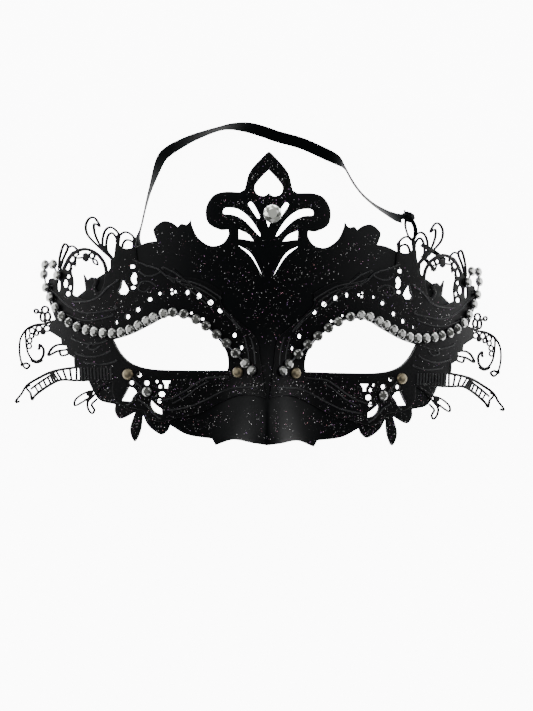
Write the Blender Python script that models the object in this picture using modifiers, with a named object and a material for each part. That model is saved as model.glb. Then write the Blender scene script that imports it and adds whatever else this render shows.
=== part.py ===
"""Pierced black party mask with crown, lace overlays, stone chains and a ribbon, lying face up.

Front outlines are drawn on a square grid whose square is the mask's width over GRID_SQUARES.
Tables give places on that grid: across from the midline, up from the middle of the height.
One function, face_point, bends everything over the same curved face.
"""

import math
from collections import namedtuple

import bmesh
import bpy
from mathutils import Matrix, Vector
from mathutils.geometry import delaunay_2d_cdt

MM = 0.001

# Driving sizes
MASK_WIDTH = 218.7 * MM
GRID_SQUARES = 486
SQUARE = MASK_WIDTH / GRID_SQUARES
CREST_HEIGHT = 44.7 * MM
SHELL_WALL = 1.2 * MM
PIECE_GAP = 0.3 * MM
LACE_THICKNESS = 0.8 * MM
STONE_WIDTH = 4.4 * MM
STONE_SIDES = 8
STONES_PER_CHAIN = 29
CUP_HEIGHT = 1.25 * MM
STONE_CROWN = 0.75 * MM
TABLE_SHARE = 0.55
CHAIN_STRIP = (1.6 * MM, 0.8 * MM)
RIBBON_WIDTH = 6.0 * MM
RIBBON_THICKNESS = 0.8 * MM

# Bend of the face, seen from above
SIDE_BEND = 4.88
SIDE_CURL = 756.0
FLARE = 66.0
FLARE_START = 97.0 * MM
SIDE_TWIST = 4.3
TWIST_CENTRE = -9.5 * MM
CROWN_LEAN = 1.2
LEAN_CENTRE = -10.0 * MM
NOSE_TOP = -9.0 * MM
NOSE_BOTTOM = -66.0 * MM
NOSE_HEIGHT = 17.0 * MM
NOSE_HALF_WIDTH = (8.0 * MM, 14.0 * MM)

# Spacing of the points on which the sheets bend
BEND_STEP = (13.5 * MM, 22.0 * MM)
NOSE_STEP = (4.2 * MM, 11.0 * MM)
NOSE_REACH = 25.3 * MM
JOIN_DISTANCE = 0.12 * MM
MIRROR_MERGE = 0.02 * MM
STRAIGHT_LIMIT = 0.28 * MM
STRAND_LIMIT = 0.4 * MM
SOLDER_DOT = 2.2
SOLDER_ROUNDS = 5

Key = namedtuple("Key", "across up turn")
Hole = namedtuple("Hole", "across up width height")
Strand = namedtuple("Strand", "width closed places")
StoneKey = namedtuple("StoneKey", "stone across up")
RibbonKey = namedtuple("RibbonKey", "across up height tilt")

ROUND = "round"
SHARP = "sharp"

# Right half of the shell's outline, from the crown's tip down to the chin edge
SHELL_EDGE = [
    Key(0, 147.3, SHARP), Key(4, 144, ROUND), Key(18.6, 127.5, ROUND), Key(23.4, 112, ROUND),
    Key(24, 109, SHARP), Key(29, 106, SHARP), Key(45, 106, ROUND), Key(56, 101.5, ROUND),
    Key(62.6, 89, ROUND), Key(60.5, 75, ROUND), Key(49, 68.3, ROUND), Key(40, 68.4, SHARP),
    Key(40.3, 62, ROUND), Key(46.5, 54, ROUND), Key(58, 52, ROUND), Key(70, 59.8, ROUND),
    Key(75.9, 70.8, ROUND), Key(77.4, 77.6, SHARP), Key(81.3, 72.9, ROUND), Key(87, 73.5, ROUND),
    Key(90, 70.3, SHARP), Key(97, 75, ROUND), Key(105.5, 75.6, ROUND), Key(113.8, 68.5, ROUND),
    Key(113.2, 62, ROUND), Key(110.8, 56, SHARP), Key(121, 54, ROUND), Key(131, 49.5, SHARP),
    Key(138, 42, ROUND), Key(148, 36, SHARP), Key(153, 27, SHARP), Key(160, 23.8, ROUND),
    Key(169.5, 17.6, SHARP), Key(174, 19, ROUND), Key(178, 15.5, SHARP), Key(181.4, 21.5, SHARP),
    Key(179.5, 6, SHARP), Key(190, -3, ROUND), Key(199, -10, ROUND), Key(204, -22, SHARP),
    Key(207, -36, ROUND), Key(198, -43, SHARP), Key(197, -50, ROUND), Key(186, -62, SHARP),
    Key(184, -72, SHARP), Key(176, -84, SHARP), Key(171.4, -94, ROUND), Key(164, -104.5, ROUND),
    Key(149.2, -108.3, SHARP), Key(149.2, -116, ROUND), Key(143.5, -122.6, ROUND),
    Key(129.5, -115.6, SHARP), Key(134.2, -133, ROUND), Key(129.2, -145, ROUND),
    Key(123.6, -134, ROUND), Key(121.8, -118, SHARP), Key(116, -129, ROUND),
    Key(104, -137.6, ROUND), Key(97.4, -134, ROUND), Key(94.5, -128.2, SHARP),
    Key(77.3, -137.4, ROUND), Key(53, -141, SHARP), Key(49.5, -147.4, SHARP),
    Key(33, -141.5, ROUND), Key(15, -144.5, ROUND), Key(0, -146.6, SHARP),
]

# Rim of the eye opening, from the outer corner round under the eye
EYE_RIM = [
    Key(151.9, -43.5, SHARP), Key(144.5, -56.5, ROUND), Key(133, -67, ROUND),
    Key(113, -72.3, ROUND), Key(76, -73, ROUND), Key(38.8, -72.4, SHARP), Key(38, -64, ROUND),
    Key(42.1, -50.3, ROUND), Key(56.5, -33.3, ROUND), Key(77.8, -20.8, ROUND),
    Key(98.2, -19.2, ROUND), Key(116.8, -28.6, ROUND), Key(135.2, -38, ROUND),
]

# Openings of the crown and the forehead, right half
HEART_HALF = [
    Key(0, 129, SHARP), Key(7, 122, ROUND), Key(14, 112.5, ROUND), Key(12, 104.8, ROUND),
    Key(5, 102.6, ROUND), Key(0, 105.5, SHARP),
]
DROP_HALF = [Key(0, 90, SHARP), Key(3.2, 84, ROUND), Key(1.6, 76, ROUND), Key(0, 71.5, SHARP)]
CROWN_SLOTS = [
    [Key(43, 90.2, ROUND), Key(30, 88.8, ROUND), Key(18, 79.5, ROUND), Key(8.6, 65.3, ROUND),
     Key(9.8, 63.4, ROUND), Key(24, 77.6, ROUND), Key(35, 83, ROUND), Key(45, 84.3, ROUND)],
    [Key(20.4, 94.4, ROUND), Key(16.4, 96, ROUND), Key(9, 83, ROUND), Key(10.6, 80, ROUND),
     Key(17, 88.5, ROUND)],
    [Key(29.8, 68.6, SHARP), Key(20, 64, ROUND), Key(14.6, 57.4, SHARP), Key(29.6, 59.6, SHARP)],
    [Key(30.5, 53.2, SHARP), Key(17, 44.4, ROUND), Key(4.9, 21.9, SHARP), Key(16.6, 41, ROUND)],
]

# Outline of the lace plate, right half, from the brow's inner end round the temple
LACE_EDGE = [
    Key(46, 6, SHARP), Key(56.5, 12.8, ROUND), Key(70.4, 18.2, ROUND), Key(84, 19.6, SHARP),
    Key(93.2, 28, SHARP), Key(99.5, 19.4, SHARP), Key(107.5, 27, ROUND), Key(129, 34.6, SHARP),
    Key(130.8, 52, SHARP), Key(135, 48, ROUND), Key(142, 48, ROUND), Key(146, 51, SHARP),
    Key(149.8, 49, SHARP), Key(151.5, 38, SHARP), Key(154.6, 37.6, SHARP), Key(154.4, 28, SHARP),
    Key(158.4, 22, SHARP), Key(159.5, 9, ROUND), Key(166, -3, ROUND), Key(180, -4, ROUND),
    Key(190.4, 1, SHARP), Key(189.6, 14, ROUND), Key(191.6, 25, ROUND), Key(187.6, 29.5, SHARP),
    Key(187, 39, SHARP), Key(184, 41, SHARP), Key(185.8, 46.4, SHARP), Key(193, 41.5, ROUND),
    Key(199, 27, SHARP), Key(203.6, 25, SHARP), Key(207.5, 17.5, SHARP), Key(212.5, 16, SHARP),
    Key(214.6, 2, ROUND), Key(206.4, -24.6, SHARP), Key(211.4, -30, SHARP),
    Key(211.6, -36.6, SHARP), Key(201, -43.4, SHARP), Key(200.4, -49, SHARP),
    Key(195.4, -51, SHARP), Key(195, -58, SHARP), Key(187.8, -63, SHARP), Key(187.2, -71.6, SHARP),
    Key(183.6, -73, SHARP), Key(182.6, -86, SHARP), Key(165, -85, ROUND), Key(151, -85.6, SHARP),
    Key(151, -97, ROUND), Key(145, -107, ROUND), Key(133, -111, ROUND), Key(121, -113.4, SHARP),
    Key(116, -121, ROUND), Key(104, -124.6, ROUND), Key(84, -119.6, ROUND), Key(67, -115.8, ROUND),
    Key(46.7, -105, ROUND), Key(25, -96.6, ROUND), Key(9, -97.4, ROUND), Key(2, -99.5, SHARP),
    Key(5.4, -74, ROUND), Key(8.4, -48, SHARP), Key(13, -37, ROUND), Key(34, -19, ROUND),
    Key(46, -6, ROUND),
]

# Openings shaped by outlines that go through lace and shell
LARGE_HOLES = [
    [Key(143.5, 16.6, ROUND), Key(139, 11, ROUND), Key(136.6, 6, SHARP), Key(139.1, 1.8, SHARP),
     Key(145.4, 1.8, SHARP), Key(147.4, 5, SHARP), Key(145.2, 8.7, SHARP)],
    [Key(135.8, -90.4, SHARP), Key(130.7, -91.5, ROUND), Key(127.4, -95.5, SHARP),
     Key(131, -100, ROUND), Key(133, -105, SHARP), Key(143, -104.3, SHARP),
     Key(139.1, -97.4, SHARP)],
    [Key(114, -102.6, SHARP), Key(108.5, -108, ROUND), Key(102.8, -112, SHARP),
     Key(102.4, -117.6, SHARP), Key(109.5, -115, ROUND), Key(113.6, -109.5, ROUND)],
]

# Shaped openings of the lace alone, over the shell's wider ones
LACE_HOLES = [
    [Key(131.6, 24, ROUND), Key(129, 20.5, ROUND), Key(129.8, 17.4, SHARP), Key(129, 13.4, ROUND),
     Key(132, 12.2, ROUND), Key(134.8, 17.8, ROUND)],
    [Key(94.4, -83.6, SHARP), Key(103, -83.6, SHARP), Key(100.4, -87.5, SHARP),
     Key(100.4, -91, SHARP), Key(97.4, -91, SHARP), Key(97.2, -87.5, SHARP)],
]

# Wider openings of the shell under groups of small lace openings
SHELL_WINDOWS = [
    [Key(130.4, 32.6, SHARP), Key(136.8, 31.6, SHARP), Key(136, 18, SHARP), Key(135.6, 6, SHARP),
     Key(129.6, 6, SHARP), Key(128.2, 20, SHARP)],
    [Key(92.6, -82.4, SHARP), Key(110.6, -82.4, SHARP), Key(107.6, -91, SHARP),
     Key(106.6, -98, SHARP), Key(107.8, -105.2, SHARP), Key(104.4, -107, SHARP),
     Key(99.2, -98, SHARP), Key(96.4, -92, SHARP)],
]

# Small round openings through lace and shell
SMALL_HOLES = [
    Hole(148.6, -26.1, 3.2, 5), Hole(137.7, -20.3, 5, 5), Hole(127.9, -13.1, 5, 4.6),
    Hole(116.4, -2.7, 5, 4.2), Hole(106.9, 3.3, 3.4, 3.4), Hole(79.7, 4.8, 3.6, 5),
    Hole(68.2, 1.6, 4.6, 6), Hole(56.8, -4.8, 5.4, 5), Hole(47, -12.8, 4.6, 4.6),
    Hole(32.3, -37.2, 3.6, 4.6), Hole(25.1, -49.5, 2.8, 4.6), Hole(64.3, -21.5, 3.4, 2.8),
    Hole(75.5, -15.7, 3, 2.4),
    Hole(125.7, -78.3, 5.4, 4.6), Hole(133, -86.2, 5, 4.6), Hole(118.2, -86.2, 5.6, 5.2),
]
WINDOW_HOLES = [
    Hole(133.4, 29.6, 5.2, 4), Hole(132.6, 8.6, 5, 3.4), Hole(108.1, -84.7, 3.2, 2.8),
    Hole(104.8, -89.6, 3.2, 3.6), Hole(102.9, -97, 6, 5.4), Hole(105.3, -104, 4.2, 4.6),
]
TRIO_HOLES = [Hole(95.3, 7.4, 2.6, 2.4), Hole(94.6, 3.4, 2.4, 2.4), Hole(91.4, 5.2, 2.4, 2.6)]
TRIO_OPENING = Hole(93.8, 5.4, 7.4, 7.4)

# Openings through the lace alone, out on the wing
WING_HOLES = [
    Hole(187.8, 41.6, 3.4, 4.4), Hole(191.4, 36.4, 4.6, 5.6), Hole(195.2, 29, 4.4, 8),
    Hole(190, 28.6, 3, 3.4), Hole(194.4, 18.8, 3.4, 3.8), Hole(197, 11.6, 4.4, 8.4),
    Hole(192.6, 7.8, 3, 4.4), Hole(194.6, 1.6, 4.6, 5), Hole(203.2, 9.4, 3, 12),
]

# Strands of the wing: curls, scroll, leaves, arms and the flourish under the cheek
STRANDS = [
    # Hooked curl
    Strand(2.0, False, [(155, 39), (165.6, 48.6), (176.3, 60.4), (178.4, 70), (175.3, 77),
                        (170.6, 78.2), (166.6, 73.3), (165.2, 69.4), (167.6, 71.2), (170.6, 71.2),
                        (170, 63.3), (166, 53), (160, 44.6)]),
    Strand(3.4, False, [(152.6, 37), (158, 43.4), (161.2, 49)]),
    # Second curl with its inner loop
    Strand(2.0, False, [(160.6, 46.8), (162.3, 56), (159.8, 65.4), (154.8, 68.8), (149.6, 65.6),
                        (147, 59)]),
    Strand(2.0, False, [(155.2, 40), (158.8, 49), (157.4, 59.5), (153.6, 63), (150.1, 59.6),
                        (149, 54)]),
    Strand(3.4, False, [(147, 61.6), (147.6, 54), (149, 46)]),
    # Third curl with its inner loop
    Strand(2.0, False, [(147, 57), (144, 62.6), (139, 64), (133.6, 60.4), (131.6, 55)]),
    Strand(2.0, False, [(142.8, 49), (141.4, 54.8), (137.4, 56.2), (132.8, 53)]),
    Strand(3.2, False, [(131.6, 58), (132.2, 47)]),
    # Great scroll and its inner end on the temple
    Strand(3.0, False, [(199.4, 14), (200.2, 22), (197, 31), (192.8, 38.9), (185, 45),
                        (176.3, 46.2), (166.6, 41), (159.8, 30.4), (158.4, 16), (161.6, 5),
                        (166, 2), (170, 8), (169.6, 17)]),
    Strand(1.8, False, [(186, 37.4), (174.3, 38.9)]),
    Strand(5.4, False, [(178.2, 41.4), (178.2, 35.4)]),
    Strand(1.8, True, [(172.4, 43), (175.2, 40), (172.4, 37), (169.6, 40)]),
    Strand(1.5, True, [(171.4, 36.6), (168, 35.3), (166.8, 31), (170.4, 32.8)]),
    # Leaves outside the scroll
    Strand(1.9, True, [(203.2, 25), (203, 36), (200.6, 47), (198, 51.6), (195.2, 47.9),
                       (199.4, 37)]),
    Strand(1.8, False, [(195, 47.5), (190.4, 49.4), (186.4, 45)]),
    # Upper arm: outer band, inner band, hook and spiral
    Strand(2.2, False, [(206, -28.4), (217, -29), (226.7, -30.6), (235.6, -35.6), (241.4, -45),
                        (242, -59), (239, -70), (234.6, -74), (231.4, -70.6), (235, -68.6),
                        (239, -68)]),
    Strand(2.0, False, [(234.6, -35.6), (235.4, -47.8), (232.6, -59.6), (225.4, -67.2),
                        (218.6, -62.4), (217.6, -54.5), (221.6, -49.6), (222.8, -54)]),
    Strand(3.6, False, [(229, -65), (224.6, -67.2), (220, -65)]),
    # Middle leaf
    Strand(2.0, True, [(194, -50.4), (203, -49.4), (209.4, -53), (213, -60.4), (204.4, -56),
                       (195, -54)]),
    Strand(1.8, False, [(201.6, -55), (200.2, -60.6), (192, -57)]),
    # Link from the stones' loops to the outermost loop
    Strand(2.4, False, [(217.6, -18.4), (224, -17)]),
    # Ladder arm with its outer crescent
    Strand(2.4, False, [(178, -72.6), (190.9, -72.6), (208.3, -76.3), (221.9, -83.1),
                        (233.5, -90.4), (239, -98.4), (241.8, -107)]),
    Strand(2.2, False, [(180, -85), (188.5, -84.9), (201.5, -84.9), (213.1, -91),
                        (225, -100.2), (228.6, -105), (230, -99), (231, -90.6)]),
    Strand(1.8, False, [(207.6, -76.4), (211.2, -80.6), (220.9, -87.4), (230, -94.4)]),
    # Flourish under the cheek, hung from the lace by a line across the shell
    Strand(1.7, True, [(171, -95), (180, -98.4), (186.8, -104.4), (187, -110), (179.6, -106),
                       (173, -101)]),
    Strand(1.8, False, [(148, -84), (161, -89.6), (169.6, -100), (174.8, -106), (174.4, -113),
                        (170.6, -117.6), (168.4, -114), (171, -108.6), (166, -103)]),
    Strand(1.8, False, [(160, -89.4), (172, -96)]),
    Strand(1.6, False, [(177.6, -103.6), (174, -106)]),
]

# Lace cells inside the upper arm, as small rings hung on the bands
ARM_CELLS = [
    Hole(214.4, -33.4, 6.4, 6), Hole(222.2, -33.8, 6, 6), Hole(229.2, -36, 5.6, 6),
    Hole(224.6, -38.4, 3.6, 4.6), Hole(229.6, -41, 4.4, 5), Hole(231.6, -46, 4.6, 5),
    Hole(232, -51.4, 4.6, 5),
]
ARM_CELL_STRAND = 1.5

# Small filled discs where strands gather, in the arm and in the flourish
STRAND_NODES = [Hole(218.4, -37.4, 5, 5), Hole(173.2, -98.2, 6, 5)]

# Crown of small loops outside the stones
LOOP_CROWN = [
    Hole(216.4, -14.8, 6.4, 7), Hole(214, -21.4, 5.4, 8), Hole(218.6, -22, 4.6, 9),
    Hole(213.4, -28, 6, 6), Hole(225, -16.4, 4, 4),
]
LOOP_STRAND = 1.7

# Ladder rungs, evenly spaced between the two lines of the ladder arm
RUNG_COUNT = 11
RUNG_WIDTH = 1.5
RUNG_TOP = [(186, -72.6), (207.6, -76.4), (212, -81), (226, -91.4)]
RUNG_FOOT = [(186, -85), (201.5, -84.9), (209, -88.4), (222, -98)]

# Chain of stones, from beside the nose over the eye and up the wing's edge
CHAIN_KEYS = [
    StoneKey(0, 16.2, -71.8), StoneKey(3, 41, -45.3), StoneKey(6, 71.3, -22.1),
    StoneKey(8, 94.5, -15.4), StoneKey(10, 113.3, -20.7), StoneKey(14, 145, -36.1),
    StoneKey(18, 178.9, -34), StoneKey(21, 202.5, -20.9), StoneKey(24, 218, 8.1),
    StoneKey(26, 218.8, 30.7), StoneKey(27, 211.2, 31.2), StoneKey(28, 207.4, 20.3),
]

FLOWER_STONE_PLACE = (117.8, -94.8)
CROWN_STONE_PLACE = (3.5, 84.4)
CROWN_STONE_WIDTH = 8.4 * MM
BRAD_PLACES = {"nose": (29.0, -73.8), "cheek": (137.2, -77.8)}
BRAD_HEAD_WIDTH = 5.2 * MM
BRAD_HEAD_HEIGHT = 1.7 * MM
BRAD_SHANK_WIDTH = 1.6 * MM
BRAD_LEG = (1.4 * MM, 4.6 * MM, 0.5 * MM)
BRAD_SIDES = 10

# Ribbon's route from behind the left temple to the knot on the right, heights in millimetres
RIBBON_ROUTE = [
    RibbonKey(-128.6, 42, 27.8, 4), RibbonKey(-128.4, 50, 26.8, 26),
    RibbonKey(-126.4, 62, 23.4, 76), RibbonKey(-122, 79, 16.6, 80), RibbonKey(-118, 94, 9.6, 78),
    RibbonKey(-113, 111, 5.2, 70), RibbonKey(-104, 137, 3.6, 38), RibbonKey(-96, 146.5, 3.4, 32),
    RibbonKey(-84, 154, 3.6, 42), RibbonKey(-70, 161, 3.8, 56), RibbonKey(-47, 169.4, 4.0, 70),
    RibbonKey(-32, 172.4, 3.9, 58), RibbonKey(-16, 171.6, 2.6, 30), RibbonKey(0, 167.6, 1.5, 10),
    RibbonKey(14, 163, 1.2, 4), RibbonKey(38, 156.7, 1.1, 0), RibbonKey(60, 147.5, 1.3, 6),
    RibbonKey(74, 140.5, 2.8, 42), RibbonKey(81, 133.5, 4.4, 84), RibbonKey(90, 118, 6.0, 87),
    RibbonKey(99, 106, 9.6, 87), RibbonKey(110, 95.6, 16.6, 84), RibbonKey(121, 88, 23.6, 72),
    RibbonKey(129, 84, 26.9, 56), RibbonKey(134.8, 82.4, 28.6, 45),
]
KNOT_PLACE = (141.4, 81.6)
KNOT_SIZE = (4.6 * MM, 3.6 * MM, 3.0 * MM)
KNOT_STRAND = 0.7 * MM

LOOKS = {
    "base_plastic": ((0.012, 0.014, 0.015, 1), 0.38, 0.0),
    "lace_metal": ((0.014, 0.014, 0.016, 1), 0.32, 0.7),
    "clear_stone": ((0.52, 0.53, 0.51, 1), 0.12, 0.3),
    "brass": ((0.42, 0.35, 0.22, 1), 0.3, 1.0),
    "satin_ribbon": ((0.012, 0.014, 0.015, 1), 0.45, 0.0),
}


def start_collections():
    """Empty the scene and return the collections for the parts and the cutters."""
    for old in list(bpy.data.objects):
        bpy.data.objects.remove(old, do_unlink=True)
    parts = bpy.data.collections.new("filigree_mask")
    cutters = bpy.data.collections.new("cutters")
    bpy.context.scene.collection.children.link(parts)
    bpy.context.scene.collection.children.link(cutters)
    return parts, cutters


def make_material(name):
    """Return a new Principled material with the look of that name."""
    colour, roughness, metallic = LOOKS[name]
    material = bpy.data.materials.new(name)
    material.use_nodes = True
    shader = material.node_tree.nodes["Principled BSDF"]
    shader.inputs["Base Color"].default_value = colour
    shader.inputs["Roughness"].default_value = roughness
    shader.inputs["Metallic"].default_value = metallic
    return material


def add_piece(name, mesh, look, collection):
    """Put a mesh in the scene as one named piece with its own material."""
    mesh.materials.clear()
    mesh.materials.append(make_material(look))
    piece = bpy.data.objects.new(name, mesh)
    collection.objects.link(piece)
    return piece


def smooth_step(share):
    """Ease a share between 0 and 1."""
    share = min(1.0, max(0.0, share))
    return share * share * (3 - 2 * share)


def face_height(x, y):
    """Height of the shell's outer face over the floor."""
    side = SIDE_BEND * x * x / 2 + SIDE_CURL * x ** 4 / 4
    side -= FLARE * max(0.0, abs(x) - FLARE_START) ** 2
    side *= 1 + SIDE_TWIST * (y - TWIST_CENTRE)
    lean = CROWN_LEAN * (y - LEAN_CENTRE) ** 2
    growth = smooth_step((NOSE_TOP - y) / (NOSE_TOP - NOSE_BOTTOM))
    slim, broad = NOSE_HALF_WIDTH
    half_width = slim + (broad - slim) * growth
    nose = NOSE_HEIGHT * growth * math.exp(-(x / half_width) ** 2)
    return CREST_HEIGHT - side - lean + nose


def face_normal(x, y):
    """Unit normal of the outer face."""
    step = 0.05 * MM
    slope_x = (face_height(x + step, y) - face_height(x - step, y)) / (2 * step)
    slope_y = (face_height(x, y + step) - face_height(x, y - step)) / (2 * step)
    return Vector((-slope_x, -slope_y, 1)).normalized()


def face_point(x, y, offset=0.0):
    """Point over the plan place x, y, at a distance from the face along its normal."""
    return Vector((x, y, face_height(x, y))) + face_normal(x, y) * offset


def on_grid(place, side=1):
    """Turn a place on the drawing grid into metres, mirrored when side is -1."""
    return Vector((side * place[0] * SQUARE, place[1] * SQUARE))


def curve_between(before, start, end, after, share):
    """Point on a smooth curve through four places."""
    square = share * share
    cube = square * share
    return 0.5 * (2 * start + (end - before) * share
                  + (2 * before - 5 * start + 4 * end - after) * square
                  + (3 * start - before - 3 * end + after) * cube)


def trace(keys, closed=True, steps=2):
    """Follow keys, smooth at round ones and cornered at sharp ones, as grid places."""
    places = [Vector((key.across, key.up)) for key in keys]
    count = len(places)
    outline = []
    for index in range(count if closed else count - 1):
        start, end = places[index], places[(index + 1) % count]
        start_key, end_key = keys[index], keys[(index + 1) % count]
        outline.append(start)
        if start_key.turn == SHARP and end_key.turn == SHARP:
            continue
        before = start * 2 - end if start_key.turn == SHARP else places[index - 1]
        after = end * 2 - start if end_key.turn == SHARP else places[(index + 2) % count]
        for step in range(1, steps):
            outline.append(curve_between(before, start, end, after, step / steps))
    if not closed:
        outline.append(places[-1])
    return outline


def oval(hole, sides=5):
    """Outline of an oval opening."""
    turns = [math.tau * (index + 0.5) / sides for index in range(sides)]
    return [Vector((hole.across + hole.width / 2 * math.cos(turn),
                    hole.up + hole.height / 2 * math.sin(turn))) for turn in turns]


def strand_bands(strand, steps=2):
    """Outline of a strand and, for a closed one, the outline of its inside."""
    keys = [Key(across, up, ROUND) for across, up in strand.places]
    line = trace(keys, strand.closed, steps)
    if steps > 1:
        line = straighten(line, STRAND_LIMIT, strand.closed)
    count = len(line)
    left, right = [], []
    for index, place in enumerate(line):
        ahead = line[(index + 1) % count] if strand.closed or index + 1 < count else place
        behind = line[index - 1] if strand.closed or index > 0 else place
        across = (ahead - behind).normalized().orthogonal() * (strand.width / 2)
        left.append(place + across)
        right.append(place - across)
    if strand.closed:
        return (left, right) if area(left) > area(right) else (right, left)
    return left + right[::-1], None


def area(outline):
    """Area inside an outline, always positive."""
    total = sum(a.x * b.y - b.x * a.y for a, b in zip(outline, outline[1:] + outline[:1]))
    return abs(total) / 2


def winding(outline, place):
    """How many times an outline goes round a place."""
    turns = 0
    for start, end in zip(outline, outline[1:] + outline[:1]):
        left = (end.x - start.x) * (place.y - start.y) - (place.x - start.x) * (end.y - start.y)
        if start.y <= place.y < end.y and left > 0:
            turns += 1
        elif end.y <= place.y < start.y and left < 0:
            turns -= 1
    return turns


class Region:
    """An outline with its openings, and the box round it."""

    def __init__(self, outline, openings=()):
        self.outline = outline
        self.openings = list(openings)
        self.low = Vector((min(p.x for p in outline), min(p.y for p in outline)))
        self.high = Vector((max(p.x for p in outline), max(p.y for p in outline)))

    def holds(self, place):
        """Whether the place is on the material."""
        if not (self.low.x <= place.x <= self.high.x and self.low.y <= place.y <= self.high.y):
            return False
        if not winding(self.outline, place):
            return False
        return not any(winding(opening, place) for opening in self.openings)

    def loops(self):
        """Every outline of the region."""
        return [self.outline] + self.openings


def triangulate(loops, lines=()):
    """Constrained triangles through all the edges of the loops and lines."""
    places, edges = [], []
    for loop in loops:
        first = len(places)
        places.extend(loop)
        edges.extend((first + i, first + (i + 1) % len(loop)) for i in range(len(loop)))
    for line in lines:
        first = len(places)
        places.extend(line)
        edges.extend((first + i, first + i + 1) for i in range(len(line) - 1))
    found = delaunay_2d_cdt(places, edges, [], 0, JOIN_DISTANCE / SQUARE / 4, False)
    return found[0], found[2]


def covered(places, triangle, regions):
    """Whether a triangle lies on any region."""
    middle = sum((places[i] for i in triangle), Vector((0, 0))) / 3
    return any(region.holds(middle) for region in regions)


def union_loops(regions):
    """Outlines of all the regions taken together."""
    places, triangles = triangulate([loop for region in regions for loop in region.loops()])
    inside = [t for t in triangles if covered(places, t, regions)]
    sheet = bmesh.new()
    verts = [sheet.verts.new((place.x, place.y, 0)) for place in places]
    for triangle in inside:
        sheet.faces.new([verts[i] for i in triangle])
    bmesh.ops.remove_doubles(sheet, verts=sheet.verts, dist=JOIN_DISTANCE / SQUARE)
    bmesh.ops.dissolve_degenerate(sheet, edges=sheet.edges, dist=JOIN_DISTANCE / SQUARE / 4)
    rim = [edge for edge in sheet.edges if len(edge.link_faces) == 1]
    loops = follow_rims(rim)
    sheet.free()
    return loops


def solder_dots(places, triangles):
    """Small discs on the places where two outlines touch in a single point."""
    uses = {}
    for triangle in triangles:
        for start, end in zip(triangle, triangle[1:] + triangle[:1]):
            edge = (min(start, end), max(start, end))
            uses[edge] = uses.get(edge, 0) + 1
    ends = {}
    for edge, count in uses.items():
        if count == 1:
            for end in edge:
                ends[end] = ends.get(end, 0) + 1
    return [Region(oval(Hole(*places[end], SOLDER_DOT, SOLDER_DOT)))
            for end, count in ends.items() if count > 2]


def follow_rims(rim):
    """Chain border edges into loops, turning at a shared corner within the same face fan."""
    ahead = {}
    for edge in rim:
        loop = edge.link_loops[0]
        ahead.setdefault(loop.vert, []).append(loop.link_loop_next.vert)
    loops = []
    while ahead:
        start = next(iter(ahead))
        here, loop = start, []
        while here in ahead:
            loop.append(Vector(here.co[:2]))
            targets = ahead[here]
            following = targets.pop()
            if not targets:
                del ahead[here]
            here = following
        if len(loop) > 2:
            loops.append(loop)
    return loops


def straighten(loop, distance=STRAIGHT_LIMIT, closed=True):
    """Drop places that lie almost on the line between their neighbours."""
    limit = distance / SQUARE
    kept = list(loop)
    index = 0 if closed else 1
    while index < len(kept) - (0 if closed else 1) and len(kept) > 3:
        before, here, after = kept[index - 1], kept[index], kept[(index + 1) % len(kept)]
        span = after - before
        off = abs(span.x * (here.y - before.y) - span.y * (here.x - before.x))
        if off <= limit * max(span.length, 1e-6):
            del kept[index]
        else:
            index += 1
    return kept


def bend_lines():
    """Upright lines on which every sheet bends, shared so that the sheets stay parallel."""
    half = MASK_WIDTH / 2
    lines = []
    for step, reach, low, high in ((BEND_STEP, half, -half, half),
                                   (NOSE_STEP, NOSE_REACH, NOSE_BOTTOM - NOSE_STEP[1], NOSE_TOP)):
        columns = int(reach / step[0])
        rows = round((high - low) / step[1])
        for column in range(-columns, columns + 1):
            x = column * step[0] / SQUARE
            lines.append([Vector((x, (low + (high - low) * row / rows) / SQUARE))
                          for row in range(rows + 1)])
    return lines


def bent_sheet(name, regions, offset, look, collection):
    """One open sheet over all the regions, bent over the face."""
    for _ in range(SOLDER_ROUNDS):
        loops = [straighten(loop) for loop in union_loops(regions)]
        places, triangles = triangulate(loops, bend_lines())
        triangles = [list(t) for t in triangles if covered(places, t, regions)]
        dots = solder_dots(places, triangles)
        if not dots:
            break
        regions = regions + dots
    sheet = bmesh.new()
    verts = []
    for place in places:
        flat = place * SQUARE
        verts.append(sheet.verts.new(face_point(flat.x, flat.y, offset)))
    for triangle in triangles:
        sheet.faces.new([verts[i] for i in triangle])
    loose = [vert for vert in sheet.verts if not vert.link_faces]
    bmesh.ops.delete(sheet, geom=loose, context="VERTS")
    bmesh.ops.recalc_face_normals(sheet, faces=sheet.faces)
    if sum(face.normal.z for face in sheet.faces) < 0:
        bmesh.ops.reverse_faces(sheet, faces=sheet.faces)
    mesh = bpy.data.meshes.new(name)
    sheet.to_mesh(mesh)
    sheet.free()
    return add_piece(name, mesh, look, collection)


def mirror_sheet(piece, name, look, collection):
    """The mirror image of a bent sheet as a piece of its own."""
    sheet = bmesh.new()
    sheet.from_mesh(piece.data)
    bmesh.ops.scale(sheet, vec=(-1, 1, 1), verts=sheet.verts)
    bmesh.ops.reverse_faces(sheet, faces=sheet.faces)
    mesh = bpy.data.meshes.new(name)
    sheet.to_mesh(mesh)
    sheet.free()
    twin = add_piece(name, mesh, look, collection)
    add_wall(twin, piece.modifiers["wall"].thickness, piece.modifiers["wall"].offset)
    return twin


def add_wall(piece, thickness, offset):
    """Thicken an open sheet to one side."""
    wall = piece.modifiers.new("wall", "SOLIDIFY")
    wall.thickness = thickness
    wall.offset = offset
    wall.use_even_offset = True


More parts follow.
